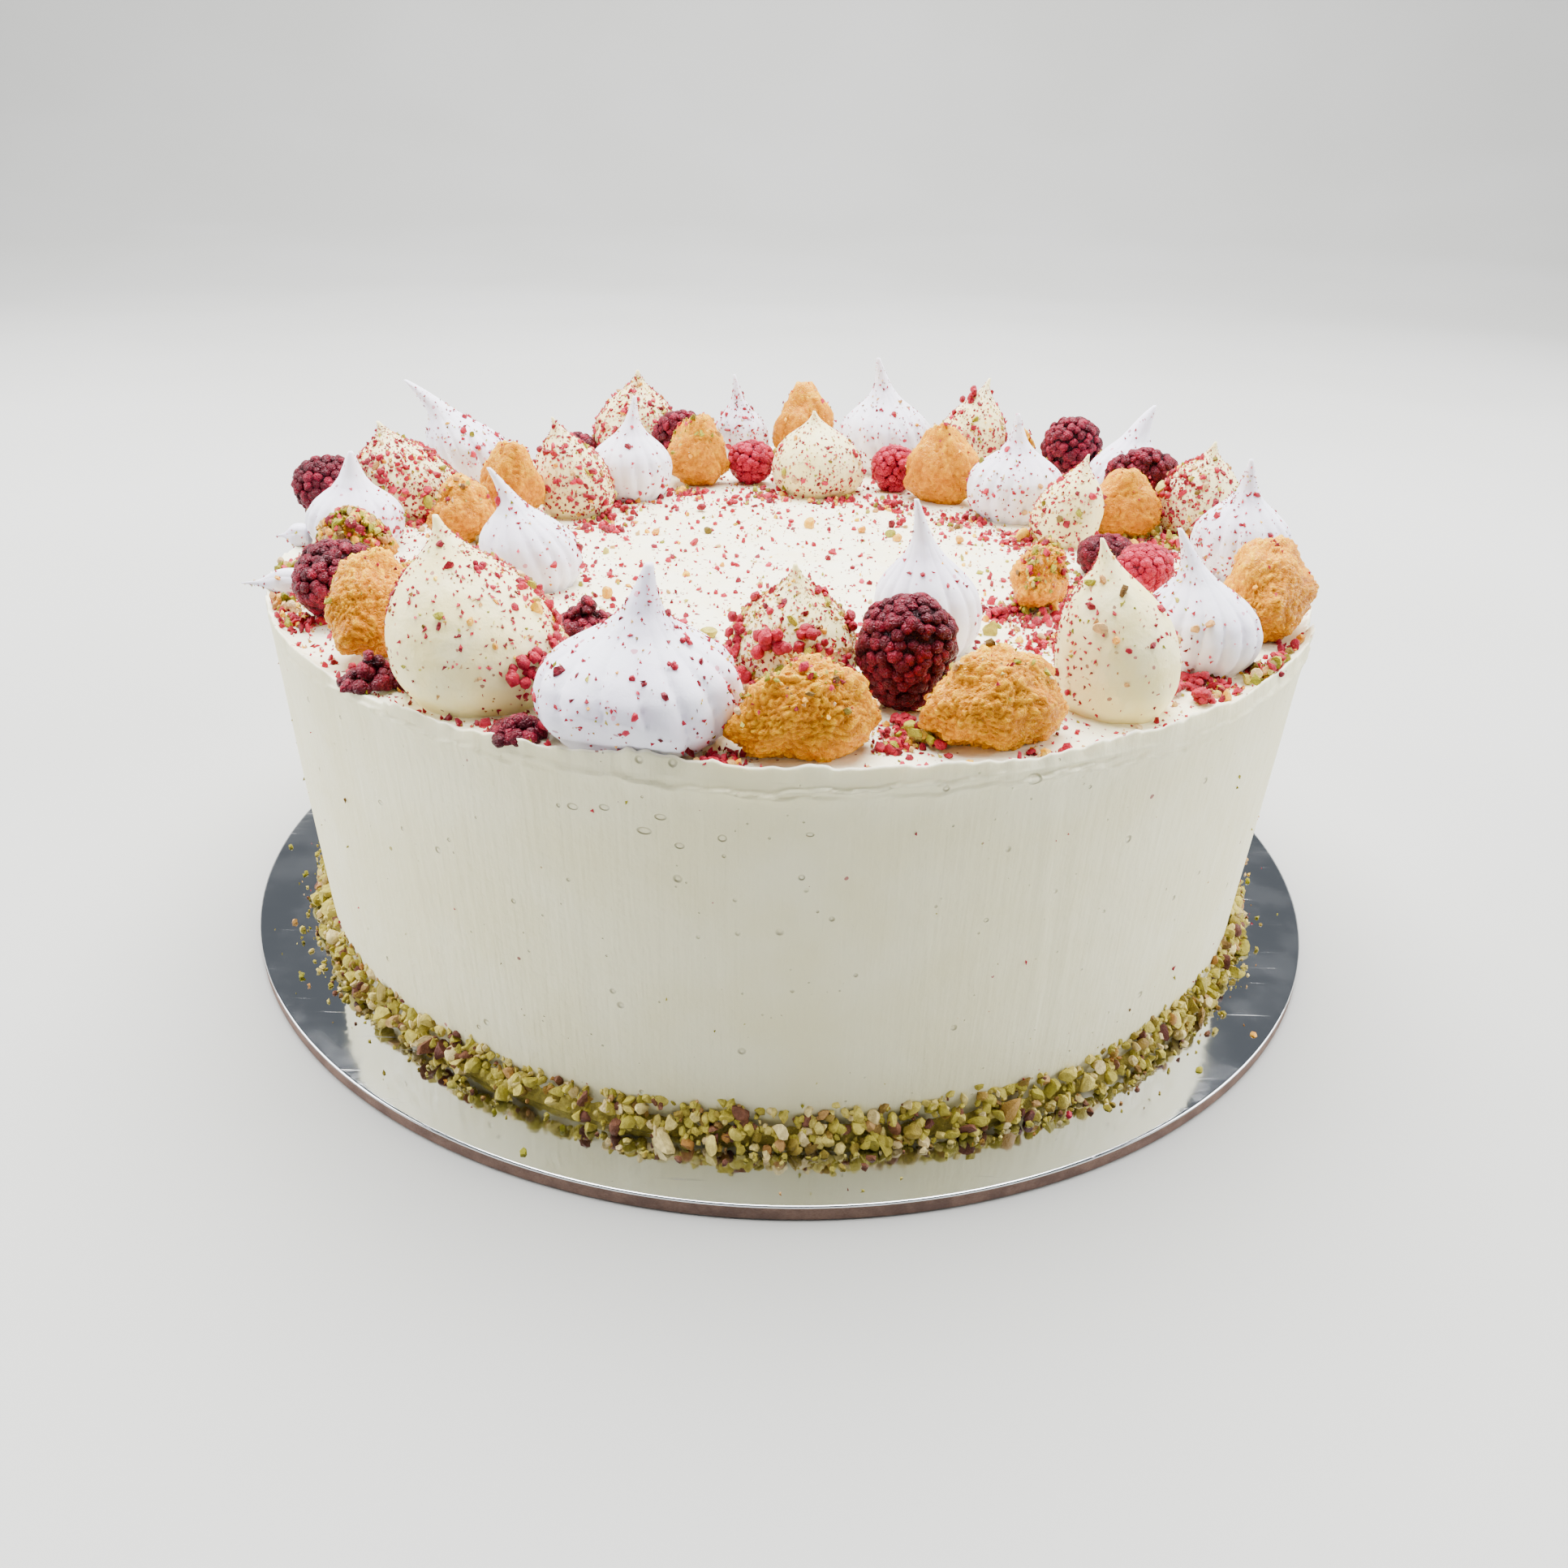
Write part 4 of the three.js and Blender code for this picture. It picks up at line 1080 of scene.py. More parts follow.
def feed(tree, socket, value):
    """Gives a socket its value: a plain one or another node's output."""
    if isinstance(value, bpy.types.NodeSocket):
        tree.links.new(value, socket)
    else:
        socket.default_value = value


def put(tree, kind, inputs=None, **settings):
    """A shader node with its settings and its inputs."""
    node = tree.nodes.new(kind)
    for key, value in settings.items():
        setattr(node, key, value)
    for key, value in (inputs or {}).items():
        feed(tree, node.inputs[key], value)
    return node


def sums(tree, operation, a, b=0.0, c=0.0):
    """One step of arithmetic on numbers."""
    return put(tree, "ShaderNodeMath", {0: a, 1: b, 2: c}, operation=operation).outputs[0]


def vectors(tree, operation, a, b):
    """One step of arithmetic on places."""
    return put(tree, "ShaderNodeVectorMath", {0: a, 1: b}, operation=operation)


def spread_over(tree, value, low, high, to_low=0.0, to_high=1.0):
    """A value carried smoothly from one range to another and held at its ends."""
    node = put(
        tree, "ShaderNodeMapRange",
        {"Value": value, "From Min": low, "From Max": high, "To Min": to_low, "To Max": to_high},
        interpolation_type="SMOOTHSTEP",
    )
    return node.outputs["Result"]


def blend(tree, share, first, second, blend_type="MIX"):
    """A share of the second colour over the first."""
    node = put(tree, "ShaderNodeMix", {"Factor": share}, data_type="RGBA", blend_type=blend_type)
    feed(tree, node.inputs[6], first)
    feed(tree, node.inputs[7], second)
    return node.outputs[2]


def colours_along(tree, value, stops):
    """A colour picked along a row of stops, each a share and a colour as it looks on screen."""
    node = put(tree, "ShaderNodeValToRGB", {"Fac": value})
    ramp = node.color_ramp
    while len(ramp.elements) < len(stops):
        ramp.elements.new(0.5)
    for element, (share, shade) in zip(ramp.elements, stops):
        element.position = share
        element.color = colour(*shade)
    return node.outputs["Color"]


def on_object(tree):
    """The place on the object, in metres."""
    return put(tree, "ShaderNodeTexCoord").outputs["Object"]


def noise_of(tree, size_mm, detail=3.0, roughness=0.5, stretch=None):
    """Noise with lumps of about a size in millimetres, over the object's own space."""
    place = on_object(tree)
    if stretch:
        place = put(tree, "ShaderNodeMapping", {"Vector": place, "Scale": stretch}).outputs["Vector"]
    inputs = {"Vector": place, "Scale": 1 / (size_mm * MM), "Detail": detail, "Roughness": roughness}
    return put(tree, "ShaderNodeTexNoise", inputs).outputs["Fac"]


def new_group(name, inputs, outputs):
    """An empty node group with named inputs and outputs.
    An input's value is a number, a list for a colour or a tuple for a place."""
    group = bpy.data.node_groups.new(name, "ShaderNodeTree")
    kinds = {list: "NodeSocketColor", tuple: "NodeSocketVector", float: "NodeSocketFloat"}
    for label, value in inputs:
        socket = group.interface.new_socket(name=label, in_out="INPUT", socket_type=kinds[type(value)])
        socket.default_value = value
    for label, kind in outputs:
        group.interface.new_socket(name=label, in_out="OUTPUT", socket_type=kind)
    return group, group.nodes.new("NodeGroupInput").outputs, group.nodes.new("NodeGroupOutput").inputs


def crumb_flecks_group():
    """Fine flecks of crumb and dust stuck in cream or meringue."""
    group, given, out = new_group(
        "crumb flecks",
        [("Spacing mm", 3.0), ("Fleck size", 0.22), ("Amount", 0.5), ("Patch size mm", 18.0)],
        [("Mask", "NodeSocketFloat"), ("Tone", "NodeSocketFloat")],
    )
    per_metre = sums(group, "DIVIDE", 1 / MM, given["Spacing mm"])
    wander = put(group, "ShaderNodeTexNoise", {"Vector": on_object(group), "Scale": 900.0})
    shifted = put(
        group, "ShaderNodeVectorMath",
        {0: wander.outputs["Color"], 1: (0.0006, 0.0006, 0.0006), 2: on_object(group)},
        operation="MULTIPLY_ADD",
    )
    spots = put(
        group, "ShaderNodeTexVoronoi", {"Vector": shifted.outputs[0], "Scale": per_metre}, feature="F1"
    )
    split = put(group, "ShaderNodeSeparateColor", {"Color": spots.outputs["Color"]})
    size = sums(group, "MULTIPLY", given["Fleck size"], sums(group, "ADD", 0.35, split.outputs["Red"]))
    inside = sums(group, "LESS_THAN", spots.outputs["Distance"], size)
    patch_scale = sums(group, "DIVIDE", 1 / MM, given["Patch size mm"])
    patches = put(group, "ShaderNodeTexNoise", {"Vector": on_object(group), "Scale": patch_scale})
    gathered = spread_over(group, patches.outputs["Fac"], 0.3, 0.7, 0.4, 1.6)
    wanted = sums(group, "MULTIPLY", given["Amount"], gathered)
    present = sums(group, "LESS_THAN", split.outputs["Green"], wanted)
    group.links.new(sums(group, "MULTIPLY", inside, present), out["Mask"])
    group.links.new(split.outputs["Blue"], out["Tone"])
    return group


def air_pits_group():
    """Small round pits left by air bubbles when cream is smoothed."""
    group, given, out = new_group(
        "air pits",
        [("Spacing mm", 5.0), ("Pit size", 0.16), ("Amount", 0.3)],
        [("Depth", "NodeSocketFloat")],
    )
    per_metre = sums(group, "DIVIDE", 1 / MM, given["Spacing mm"])
    spots = put(
        group, "ShaderNodeTexVoronoi", {"Vector": on_object(group), "Scale": per_metre}, feature="F1"
    )
    split = put(group, "ShaderNodeSeparateColor", {"Color": spots.outputs["Color"]})
    size = sums(group, "MULTIPLY", given["Pit size"], sums(group, "ADD", 0.3, split.outputs["Red"]))
    away = sums(group, "DIVIDE", spots.outputs["Distance"], size)
    bowl = spread_over(group, away, 0.35, 1.0, 1.0, 0.0)
    present = sums(group, "LESS_THAN", split.outputs["Green"], given["Amount"])
    group.links.new(sums(group, "MULTIPLY", bowl, present), out["Depth"])
    return group


def single_pit_group():
    """One larger pit in the wall, at a place in millimetres."""
    group, given, out = new_group(
        "single pit",
        [("Middle mm", (0.0, 0.0, 0.0)), ("Half sizes mm", (1.2, 1.2, 0.8))],
        [("Depth", "NodeSocketFloat")],
    )
    place_mm = vectors(group, "DIVIDE", on_object(group), (MM, MM, MM)).outputs[0]
    from_middle = vectors(group, "SUBTRACT", place_mm, given["Middle mm"]).outputs[0]
    share = vectors(group, "DIVIDE", from_middle, given["Half sizes mm"]).outputs[0]
    away = vectors(group, "DOT_PRODUCT", share, share).outputs["Value"]
    group.links.new(spread_over(group, away, 0.35, 1.15, 1.0, 0.0), out["Depth"])
    return group


def mottling_group():
    """Soft uneven patches of a second shade over a first."""
    group, given, out = new_group(
        "soft mottling",
        [("First", [1.0] * 4), ("Second", [1.0] * 4), ("Size mm", 12.0), ("Amount", 1.0)],
        [("Colour", "NodeSocketColor")],
    )
    scale = sums(group, "DIVIDE", 1 / MM, given["Size mm"])
    patches = put(group, "ShaderNodeTexNoise", {"Vector": on_object(group), "Scale": scale, "Detail": 4.0})
    share = sums(group, "MULTIPLY", given["Amount"], spread_over(group, patches.outputs["Fac"], 0.32, 0.68))
    group.links.new(blend(group, share, given["First"], given["Second"]), out["Colour"])
    return group


def dried_grain_group():
    """The wrinkled grain of dried fruit and nuts."""
    group, given, out = new_group(
        "dried grain", [("Size mm", 1.0), ("Seams", 0.5)], [("Height", "NodeSocketFloat")]
    )
    scale = sums(group, "DIVIDE", 1 / MM, given["Size mm"])
    grain = put(group, "ShaderNodeTexNoise", {"Vector": on_object(group), "Scale": scale, "Detail": 5.0})
    seams = put(
        group, "ShaderNodeTexVoronoi", {"Vector": on_object(group), "Scale": scale},
        feature="DISTANCE_TO_EDGE",
    )
    edge = spread_over(group, seams.outputs["Distance"], 0.0, 0.25)
    group.links.new(sums(group, "MULTIPLY_ADD", edge, given["Seams"], grain.outputs["Fac"]), out["Height"])
    return group


class Finish:
    """A material being put together round one principled shader."""

    def __init__(self, name, inputs):
        self.material = bpy.data.materials.new(name)
        self.material.use_nodes = True
        self.tree = self.material.node_tree
        self.tree.nodes.clear()
        self.shader = put(self.tree, "ShaderNodeBsdfPrincipled", inputs)
        end = put(self.tree, "ShaderNodeOutputMaterial", {"Surface": self.shader.outputs[0]})
        end.is_active_output = True

    def group(self, group, **values):
        """Places a node group with its own values."""
        node = put(self.tree, "ShaderNodeGroup", node_tree=group)
        for label, value in values.items():
            feed(self.tree, node.inputs[label.replace("_", " ")], value)
        return node.outputs

    def tone(self):
        """The tone that each shape was given when it was made."""
        return put(self.tree, "ShaderNodeAttribute", attribute_name="tone").outputs["Fac"]

    def relief(self, height, depth_mm, strength):
        """The normal of a surface with fine relief."""
        inputs = {"Height": height, "Distance": depth_mm * MM, "Strength": strength}
        return put(self.tree, "ShaderNodeBump", inputs).outputs["Normal"]

    def set(self, **links):
        """Feeds the shader and hands over the material."""
        for label, value in links.items():
            feed(self.tree, self.shader.inputs[label.replace("_", " ")], value)
        return self.material


def two_shades(finish, mottling, first, second, size_mm, amount=0.8):
    """A first shade with soft patches of a second."""
    shades = {"First": colour(*first), "Second": colour(*second)}
    return finish.group(mottling, **shades, Size_mm=size_mm, Amount=amount)["Colour"]


def stained(tree, base, mask, strength, tone, stops):
    """A base colour with flecks over it, each coloured along the stops by its tone."""
    return blend(tree, sums(tree, "MULTIPLY", mask, strength), base, colours_along(tree, tone, stops))


FLECK_COLOURS = [
    (0.0, (92, 8, 24)), (0.3, (140, 22, 44)), (0.55, (186, 70, 88)),
    (0.72, (110, 10, 28)), (0.8, (222, 140, 30)), (0.9, (140, 134, 46)),
    (1.0, (190, 150, 100)),
]


PINK_FLECKS = [(0.0, (132, 24, 50)), (0.4, (196, 84, 108)), (0.8, (222, 140, 160)), (1.0, (160, 46, 72))]


def facing_up(finish):
    """1 where a surface faces up, 0 where it stands upright."""
    normal = put(finish.tree, "ShaderNodeNewGeometry").outputs["Normal"]
    up = put(finish.tree, "ShaderNodeSeparateXYZ", {"Vector": normal}).outputs["Z"]
    return spread_over(finish.tree, up, 0.55, 0.9)


# The wall's larger pits: turn about the cake in degrees, height, half width and half height.
WALL_PITS = [
    (-107.3, 84.5, 1.2, 0.75), (-104.5, 85.5, 1.1, 0.7), (-99.8, 85.0, 1.2, 0.7), (-101.2, 81.5, 1.5, 0.8),
    (-98.3, 79.0, 1.0, 0.7), (-69.5, 92.0, 1.6, 1.1), (-94.8, 81.5, 0.9, 0.8), (-87.8, 83.0, 0.8, 0.5),
    (-130.0, 70.0, 0.8, 0.6), (-72.0, 60.0, 0.6, 0.5), (20.0, 78.0, 1.2, 0.8), (55.0, 66.0, 1.0, 0.7),
    (95.0, 82.0, 1.3, 0.8), (140.0, 72.0, 1.0, 0.7), (175.0, 80.0, 1.1, 0.8), (-20.0, 74.0, 1.0, 0.7),
]


def buttercream_finish(flecks, pits, pit, mottling):
    f = Finish("smooth buttercream", {
        "Roughness": 0.5, "Specular IOR Level": 0.35, "Subsurface Weight": 0.12,
        "Subsurface Radius": (1.0, 0.75, 0.45), "Subsurface Scale": 0.004,
    })
    t = f.tree
    # The wall's cream is painted darker and the top's lighter, as painted shade on the upright wall and
    # painted light on the top; facing_up blends the two.
    wall = two_shades(f, mottling, (234, 230, 194), (227, 221, 178), 22.0)
    top = two_shades(f, mottling, (251, 247, 220), (248, 237, 196), 11.0, 0.7)
    up = facing_up(f)
    base = blend(t, up, wall, top)
    specks = f.group(flecks, Spacing_mm=1.9, Fleck_size=0.2, Amount=0.42, Patch_size_mm=16.0)
    sparse = f.group(flecks, Spacing_mm=4.5, Fleck_size=0.1, Amount=0.12, Patch_size_mm=40.0)
    here = sums(t, "MAXIMUM", sums(t, "MULTIPLY", specks["Mask"], up), sparse["Mask"])
    dusted = stained(t, base, here, 0.85, specks["Tone"], FLECK_COLOURS)
    bubbles = f.group(pits, Spacing_mm=6.5, Pit_size=0.13, Amount=0.5)
    pinholes = f.group(pits, Spacing_mm=2.2, Pit_size=0.12, Amount=0.22)
    holes = sums(t, "MAXIMUM", bubbles["Depth"], pinholes["Depth"])
    for turn, z, half_width, half_height in WALL_PITS:
        r, turn = float(wall_radius(z)), math.radians(turn)
        middle = (r * math.cos(turn), r * math.sin(turn), z)
        large = f.group(pit, Middle_mm=middle, Half_sizes_mm=(half_width, half_width, half_height))
        holes = sums(t, "MAXIMUM", holes, large["Depth"])
    # The pits are painted darker towards cream-brown, as painted shade in the hollows.
    shaded = blend(t, sums(t, "MULTIPLY", holes, 0.12), dusted, colour(196, 186, 150))
    drags = noise_of(t, 1.6, 2.0, 0.5, stretch=(1.0, 1.0, 0.06))
    skin = noise_of(t, 3.5, 5.0, 0.6)
    height = sums(t, "MULTIPLY_ADD", skin, 0.5, sums(t, "MULTIPLY", drags, 0.35))
    dented = sums(t, "MULTIPLY_ADD", holes, -1.8, height)
    normal = f.relief(dented, 0.6, 0.9)
    rough = spread_over(t, skin, 0.3, 0.7, 0.42, 0.6)
    return f.set(Base_Color=shaded, Roughness=rough, Normal=normal)


def cream_kiss_finish(flecks, pits, mottling):
    f = Finish("piped buttercream", {
        "Roughness": 0.5, "Specular IOR Level": 0.35, "Subsurface Weight": 0.15,
        "Subsurface Radius": (1.0, 0.75, 0.4), "Subsurface Scale": 0.004,
    })
    t = f.tree
    base = two_shades(f, mottling, (251, 240, 186), (247, 230, 156), 9.0)
    specks = f.group(flecks, Spacing_mm=2.1, Fleck_size=0.18, Amount=0.3, Patch_size_mm=9.0)
    dusted = stained(t, base, specks["Mask"], 0.8, specks["Tone"], FLECK_COLOURS)
    bubbles = f.group(pits, Spacing_mm=4.2, Pit_size=0.13, Amount=0.4)
    skin = noise_of(t, 3.0, 4.0, 0.55)
    height = sums(t, "MULTIPLY_ADD", bubbles["Depth"], -1.3, skin)
    # The air pits are painted darker, as painted shade in the hollows.
    shaded = blend(t, sums(t, "MULTIPLY", bubbles["Depth"], 0.3), dusted, colour(204, 188, 150))
    rough = spread_over(t, skin, 0.3, 0.7, 0.42, 0.58)
    return f.set(Base_Color=shaded, Roughness=rough, Normal=f.relief(height, 0.45, 0.8))


def meringue_finish(flecks, mottling):
    f = Finish("dry meringue", {
        "Roughness": 0.62, "Specular IOR Level": 0.3, "Subsurface Weight": 0.2,
        "Subsurface Radius": (0.9, 0.8, 0.9), "Subsurface Scale": 0.004,
    })
    t = f.tree
    base = two_shades(f, mottling, (238, 238, 252), (230, 224, 242), 10.0)
    specks = f.group(flecks, Spacing_mm=2.5, Fleck_size=0.19, Amount=0.3, Patch_size_mm=10.0)
    dusted = stained(t, base, specks["Mask"], 0.7, specks["Tone"], PINK_FLECKS)
    powder = noise_of(t, 0.6, 3.0, 0.6)
    skin = noise_of(t, 4.0, 3.0, 0.5)
    height = sums(t, "MULTIPLY_ADD", powder, 0.25, skin)
    rough = spread_over(t, powder, 0.3, 0.7, 0.55, 0.7)
    return f.set(Base_Color=dusted, Roughness=rough, Normal=f.relief(height, 0.3, 0.7))


def orange_finish(grain, mottling):
    f = Finish("dried orange", {
        "Roughness": 0.3, "Specular IOR Level": 0.3, "Specular Tint": (1.0, 0.8, 0.3, 1.0),
        "Subsurface Weight": 0.2, "Subsurface Radius": (1.0, 0.65, 0.05), "Subsurface Scale": 0.003,
    })
    t = f.tree
    sac = colours_along(t, f.tone(), [
        (0.0, (170, 92, 0)), (0.3, (204, 130, 0)), (0.6, (224, 156, 0)), (0.8, (236, 174, 0)),
        (1.0, (246, 198, 20)),
    ])
    glow = two_shades(f, mottling, (255, 255, 250), (252, 230, 30), 5.0, 0.7)
    base = blend(t, 0.7, sac, glow, "MULTIPLY")
    fine = f.group(grain, Size_mm=0.8, Seams=0.45)
    strands = noise_of(t, 0.9, 4.0, 0.6, stretch=(0.5, 1.0, 0.7))
    frost = spread_over(t, noise_of(t, 2.2, 5.0, 0.65), 0.58, 0.7)
    frosted = blend(t, sums(t, "MULTIPLY", frost, 0.3), base, colour(244, 204, 50))
    rough = spread_over(t, strands, 0.35, 0.65, 0.14, 0.4)
    height = sums(t, "MULTIPLY_ADD", strands, 1.2, sums(t, "MULTIPLY", fine["Height"], 0.6))
    return f.set(Base_Color=frosted, Roughness=rough, Normal=f.relief(height, 0.5, 0.8))


def raspberry_finish(grain, name, stops, bloom):
    """Beads coloured along the stops by their tone, with a dusty bloom."""
    f = Finish(name, {
        "Roughness": 0.45, "Specular IOR Level": 0.22, "Specular Tint": (1.0, 0.7, 0.78, 1.0),
    })
    t = f.tree
    bead = colours_along(t, f.tone(), stops)
    dusty = spread_over(t, noise_of(t, 0.9, 4.0, 0.65), 0.55, 0.78)
    dusted = blend(t, sums(t, "MULTIPLY", dusty, 0.15), bead, bloom)
    fine = f.group(grain, Size_mm=0.9, Seams=0.5)
    rough = spread_over(t, noise_of(t, 1.1), 0.35, 0.65, 0.28, 0.5)
    return f.set(Base_Color=dusted, Roughness=rough, Normal=f.relief(fine["Height"], 0.45, 0.9))


def scrap_finish(grain, name, stops, roughness, worn=(120, 90, 60), mixing="MULTIPLY"):
    """Crumbs, each coloured along the stops by its tone."""
    f = Finish(name, {"Specular IOR Level": 0.2})
    t = f.tree
    base = colours_along(t, f.tone(), stops)
    wear = spread_over(t, noise_of(t, 1.2, 3.0), 0.35, 0.65, 0.0, 0.35)
    patchy = blend(t, wear, base, colour(*worn), mixing)
    fine = f.group(grain, Size_mm=0.6, Seams=0.5)
    rough = spread_over(t, noise_of(t, 0.9), 0.3, 0.7, roughness - 0.1, roughness + 0.1)
    return f.set(Base_Color=patchy, Roughness=rough, Normal=f.relief(fine["Height"], 0.2, 0.7))


def foil_finish():
    f = Finish("silver foil", {"Metallic": 1.0, "Roughness": 0.1})
    t = f.tree
    dents = noise_of(t, 16.0, 3.0, 0.5)
    creases = noise_of(t, 5.0, 2.0, 0.5, stretch=(0.35, 1.3, 1.0))
    along = {"Vector": on_object(t), "Rotation": (0, 0, 0.7), "Scale": (40.0, 900.0, 1.0)}
    place = put(t, "ShaderNodeMapping", along).outputs["Vector"]
    scratches = put(t, "ShaderNodeTexNoise", {"Vector": place, "Scale": 1.0, "Detail": 2.0})
    lines = spread_over(t, scratches.outputs["Fac"], 0.67, 0.74)
    height = sums(t, "MULTIPLY_ADD", creases, 0.25, dents)
    tint = blend(t, sums(t, "MULTIPLY", lines, 0.5), colour(214, 216, 220), colour(176, 176, 180))
    rough = sums(t, "MULTIPLY_ADD", lines, 0.2, spread_over(t, dents, 0.35, 0.65, 0.05, 0.13))
    return f.set(Base_Color=tint, Roughness=rough, Normal=f.relief(height, 0.5, 0.35))


def fibreboard_finish(mottling):
    f = Finish("brown fibreboard", {"Specular IOR Level": 0.3})
    t = f.tree
    base = two_shades(f, mottling, (122, 96, 84), (98, 76, 68), 5.0, 1.0)
    fibres = noise_of(t, 0.5, 3.0, 0.6, stretch=(1.0, 1.0, 3.0))
    darker = blend(t, spread_over(t, fibres, 0.4, 0.7, 0.0, 0.4), base, colour(84, 60, 50))
    rough = spread_over(t, fibres, 0.3, 0.7, 0.65, 0.85)
    return f.set(Base_Color=darker, Roughness=rough, Normal=f.relief(fibres, 0.2, 0.6))


def make_finishes():
    """Every finish by the name that the pieces ask for it by."""
    flecks, pits, pit = crumb_flecks_group(), air_pits_group(), single_pit_group()
    mottling, grain = mottling_group(), dried_grain_group()
    return {
        "foil": foil_finish(),
        "fibreboard": fibreboard_finish(mottling),
        "buttercream": buttercream_finish(flecks, pits, pit, mottling),
        "cream_kiss": cream_kiss_finish(flecks, pits, mottling),
        "meringue": meringue_finish(flecks, mottling),
        "orange": orange_finish(grain, mottling),
        "dark_raspberry": raspberry_finish(grain, "dark dried raspberry", [
            (0.0, (20, 1, 5)), (0.25, (56, 3, 14)), (0.55, (92, 6, 26)), (1.0, (146, 22, 50)),
        ], colour(124, 26, 50)),
        "pink_raspberry": raspberry_finish(grain, "pink dried raspberry", [
            (0.0, (66, 3, 16)), (0.25, (128, 8, 34)), (0.55, (172, 20, 52)), (1.0, (208, 64, 92)),
        ], colour(206, 84, 108)),
        "nuts": scrap_finish(grain, "chopped pistachio", [
            (0.0, (98, 54, 48)), (0.12, (132, 88, 58)), (0.2, (148, 128, 46)),
            (0.34, (172, 160, 56)), (0.48, (198, 182, 74)), (0.62, (220, 202, 108)),
            (0.76, (234, 214, 150)), (0.92, (172, 120, 58)), (1.0, (136, 142, 44)),
        ], 0.55),
        "raspberry_crumbs": scrap_finish(grain, "raspberry crumbs", [
            (0.0, (84, 2, 14)), (0.35, (134, 4, 26)), (0.7, (168, 10, 38)), (1.0, (198, 48, 74)),
        ], 0.45, (196, 46, 76), "MIX"),
        "pistachio_crumbs": scrap_finish(grain, "pistachio crumbs", [
            (0.0, (112, 74, 40)), (0.2, (132, 130, 20)), (0.6, (176, 168, 44)), (1.0, (210, 194, 100)),
        ], 0.6),
        "orange_crumbs": scrap_finish(grain, "orange crumbs", [
            (0.0, (206, 120, 0)), (0.5, (230, 156, 0)), (1.0, (244, 190, 10)),
        ], 0.4, (250, 226, 120), "MIX"),
        "pale_crumbs": scrap_finish(grain, "pale crumbs", [
            (0.0, (180, 124, 62)), (0.5, (212, 164, 98)), (1.0, (238, 208, 156)),
        ], 0.65),
    }


# Putting it together.

PINK_RASPBERRIES = {"raspberry_02", "raspberry_06", "raspberry_07"}
FRONT_PIECES = {
    "meringue_01", "meringue_02", "meringue_04", "cream_kiss_01", "cream_kiss_02", "cream_kiss_03",
    "orange_01", "orange_02", "orange_03", "orange_12", "raspberry_01",
}

# Rows and sides of a kiss's skin, at the front and elsewhere.
KISS_FINE = {"meringue": (68, 160), "cream_kiss": (68, 104)}
KISS_COARSE = {"meringue": (48, 104), "cream_kiss": (48, 80)}

# Crumbs on a kiss of 14 mm radius that is strewn as thickly as most.
MERINGUE_CRUMBS = 270
CREAM_KISS_CRUMBS = 1050

FRONT_BEAD = 1.4  # radius of a raspberry's beads
BEAD = 1.55


def make_kisses(finishes, crumbs):
    """Every kiss with the crumbs on it; those at the front are made finer."""
    groups = [
        (MERINGUES + LYING_MERINGUES, MERINGUE_OUTLINE, "meringue", MERINGUE_CRUMBS),
        (CREAM_KISSES, CREAM_OUTLINE, "cream_kiss", CREAM_KISS_CRUMBS),
    ]
    kisses = {}
    for pieces, outline, slot, crumb_count in groups:
        for number, piece in enumerate(pieces):
            kiss = Kiss(piece, outline, number * 3.7 + len(slot))
            kisses[piece["name"]] = kiss
            near = piece["name"] in FRONT_PIECES
            rows, sides = (KISS_FINE if near else KISS_COARSE)[slot]
            make_kiss(kiss, finishes[slot], slot, rows, sides)
            thickly = piece.get("crumbs", 1)
            count = int(crumb_count * thickly * (piece["r"] / 14) ** 1.6)
            shares = CRUSTED_SHARES if thickly > 2 else KISS_SHARES
            strew_kiss(crumbs, kiss, count, shares, 100 + number + len(slot))
    stick_pieces(crumbs, kisses)


def make_fruit(finishes, crumbs):
    """Every piece of fruit, with crumbs on the orange pieces."""
    for number, piece in enumerate(ORANGES):
        make_orange(piece, finishes["orange"], 6 if piece["name"] in FRONT_PIECES else 5, number * 2.3)
        nutty = piece.get("nutty", 0)
        count = int(24 + 300 * nutty)
        strew_fruit(crumbs, piece, count, 300 + number, NUTTY_SHARES if nutty else KISS_SHARES)
    for number, piece in enumerate(RASPBERRIES):
        pink = piece["name"] in PINK_RASPBERRIES
        finish = finishes["pink_raspberry" if pink else "dark_raspberry"]
        bead = FRONT_BEAD if piece["name"] in FRONT_PIECES else BEAD
        make_raspberry(piece, finish, bead, 40 + number)
    for number, piece in enumerate(CLUMPS):
        make_clump(piece, finishes["dark_raspberry"], 70 + number)


def make_crumbs(finishes, crumbs):
    """All the crumbs of a kind as one piece."""
    for kind, slot in zip(CRUMB_KINDS, ["dried_raspberry", "pistachio", "dried_orange", "buttercream"]):
        crumbs.batches[kind].make(kind + "_crumbs", [finishes[kind + "_crumbs"]], slot, sharp=40)


# The floor's outline as radius and height, in metres.
FLOOR_OUTLINE = [(0.4, 0), (1.1, 0), (1.6, 0), (2.0, 0.05), (2.3, 0.2), (2.5, 0.45), (2.6, 0.8), (2.62, 1.1)]
FLOOR_SIDES = 96


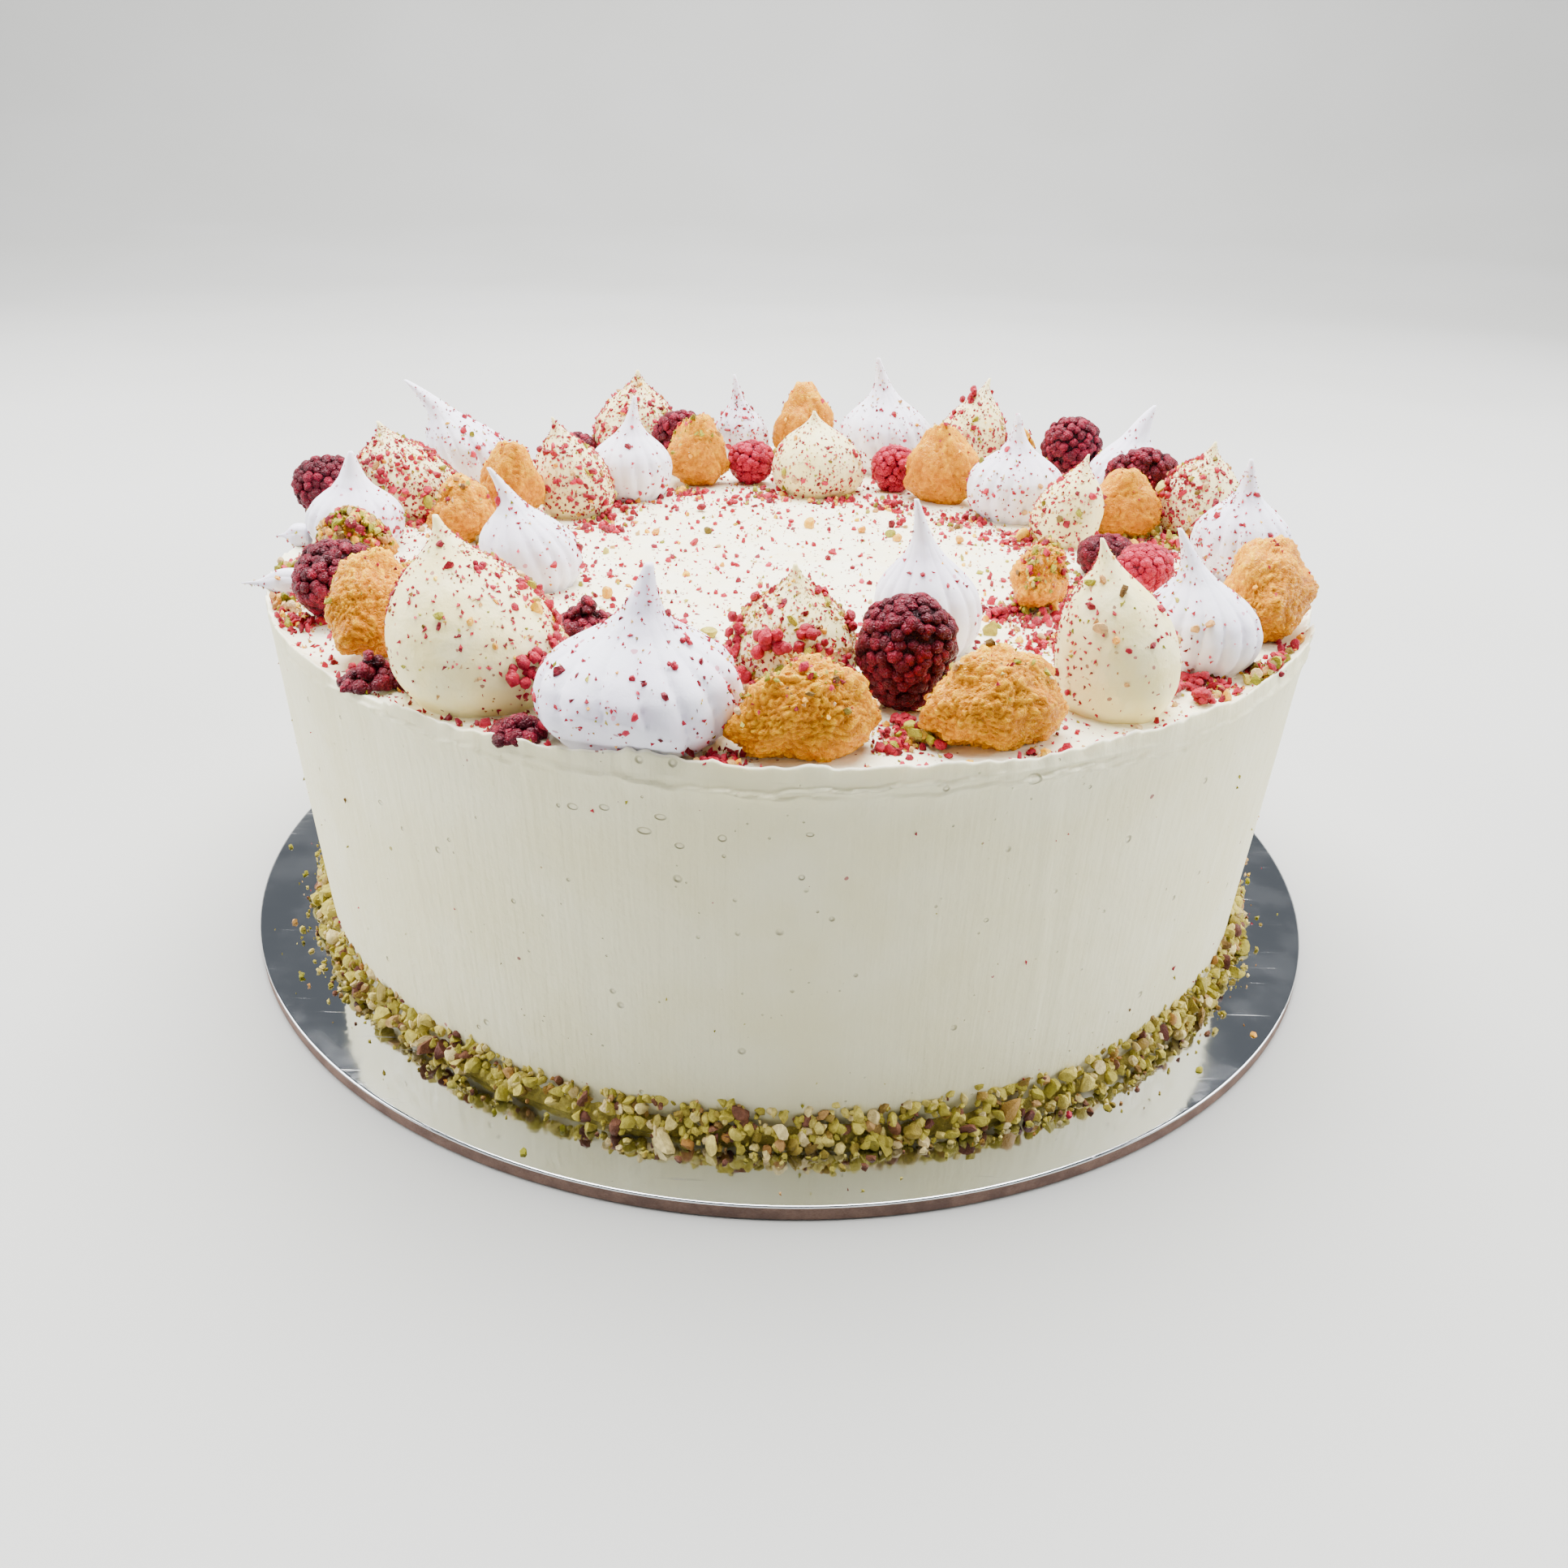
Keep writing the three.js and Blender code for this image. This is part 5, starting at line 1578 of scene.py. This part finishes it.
def make_floor():
    """A pale floor that sweeps up into a backdrop all round, well away from the cake."""
    form = bpy.data.meshes.new("floor")
    points, quads, fans = turned(*evenly_turned(FLOOR_OUTLINE, FLOOR_SIDES), close_last=False)
    form.from_pydata(points.tolist(), [], quads[:, ::-1].tolist() + fans[:, ::-1].tolist())
    form.polygons.foreach_set("use_smooth", np.ones(len(form.polygons), bool))
    f = Finish("pale floor", {"Roughness": 0.85, "Specular IOR Level": 0.2})
    patches = spread_over(f.tree, noise_of(f.tree, 300.0, 2.0), 0.3, 0.7)
    pale = blend(f.tree, patches, colour(178, 178, 176), colour(174, 174, 171))
    form.materials.append(f.set(Base_Color=pale))
    floor = bpy.data.objects.new("floor", form)
    bpy.context.scene.collection.objects.link(floor)
    floor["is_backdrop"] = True


# The photo's viewpoint: its camera's height and distance in metres, and its slopes in degrees.
CAMERA_PLACE = (0.0, -0.348, 0.2014)
CAMERA_PITCH = 28.19
CAMERA_ROLL = 1.548
LENS_MM = 29.53
SENSOR_MM = 36.0
PHOTO_SIZE = 1932
AXIS_PIXEL = (964.9, 1000.4)  # where the lens's axis meets the picture


def make_camera():
    """The camera at the photo's viewpoint, shifted only to frame the cake as the photo does."""
    camera = bpy.data.objects.new("camera", bpy.data.cameras.new("camera"))
    camera.data.lens = LENS_MM
    camera.data.sensor_width = SENSOR_MM
    camera.data.shift_x = (PHOTO_SIZE / 2 - AXIS_PIXEL[0]) / PHOTO_SIZE
    camera.data.shift_y = (AXIS_PIXEL[1] - PHOTO_SIZE / 2) / PHOTO_SIZE
    camera.data.clip_start = 0.01
    pitch = Matrix.Rotation(math.radians(90 - CAMERA_PITCH), 4, "X")
    roll = Matrix.Rotation(math.radians(CAMERA_ROLL), 4, "Z")
    camera.matrix_world = Matrix.Translation(CAMERA_PLACE) @ (pitch @ roll)
    bpy.context.scene.collection.objects.link(camera)
    bpy.context.scene.camera = camera


# Soft studio lights: place, what each is aimed at, size and power.
LIGHTS = [
    ("overhead softbox", (0.0, 0.35, 1.3), (0.0, 0.0, 0.07), 1.3, 110.0),
    ("left softbox", (-1.25, 0.05, 0.55), (0.0, 0.0, 0.07), 0.8, 27.0),
    ("right softbox", (1.25, 0.1, 0.55), (0.0, 0.0, 0.07), 0.8, 27.0),
    ("backdrop softbox", (0.0, 1.5, 1.7), (0.0, 2.4, 0.2), 1.2, 70.0),
]


def make_lights():
    """Four softboxes and a faint even sky."""
    for name, place, target, size, power in LIGHTS:
        lamp = bpy.data.lights.new(name, "AREA")
        lamp.size = size
        lamp.energy = power
        light = bpy.data.objects.new(name, lamp)
        light.location = place
        aim = Vector(target) - Vector(place)
        light.rotation_euler = aim.to_track_quat("-Z", "Y").to_euler()
        bpy.context.scene.collection.objects.link(light)
    world = bpy.data.worlds.new("studio")
    world.use_nodes = True
    world.node_tree.nodes["Background"].inputs["Color"].default_value = (0.85, 0.92, 1.0, 1)
    world.node_tree.nodes["Background"].inputs["Strength"].default_value = 0.2
    bpy.context.scene.world = world


finishes = make_finishes()
crumbs = Crumbs()
make_board(finishes["foil"], finishes["fibreboard"])
make_cake(finishes["buttercream"])
make_nuts(finishes["nuts"])
make_kisses(finishes, crumbs)
make_fruit(finishes, crumbs)
strew_top(crumbs)
strew_large(crumbs)
strew_wall(crumbs)
make_crumbs(finishes, crumbs)
make_floor()
make_lights()
make_camera()

boxes = {"cad": cad_box, "visual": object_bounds()}
{name: [[float(v) for v in corner] for corner in box] for name, box in boxes.items()}
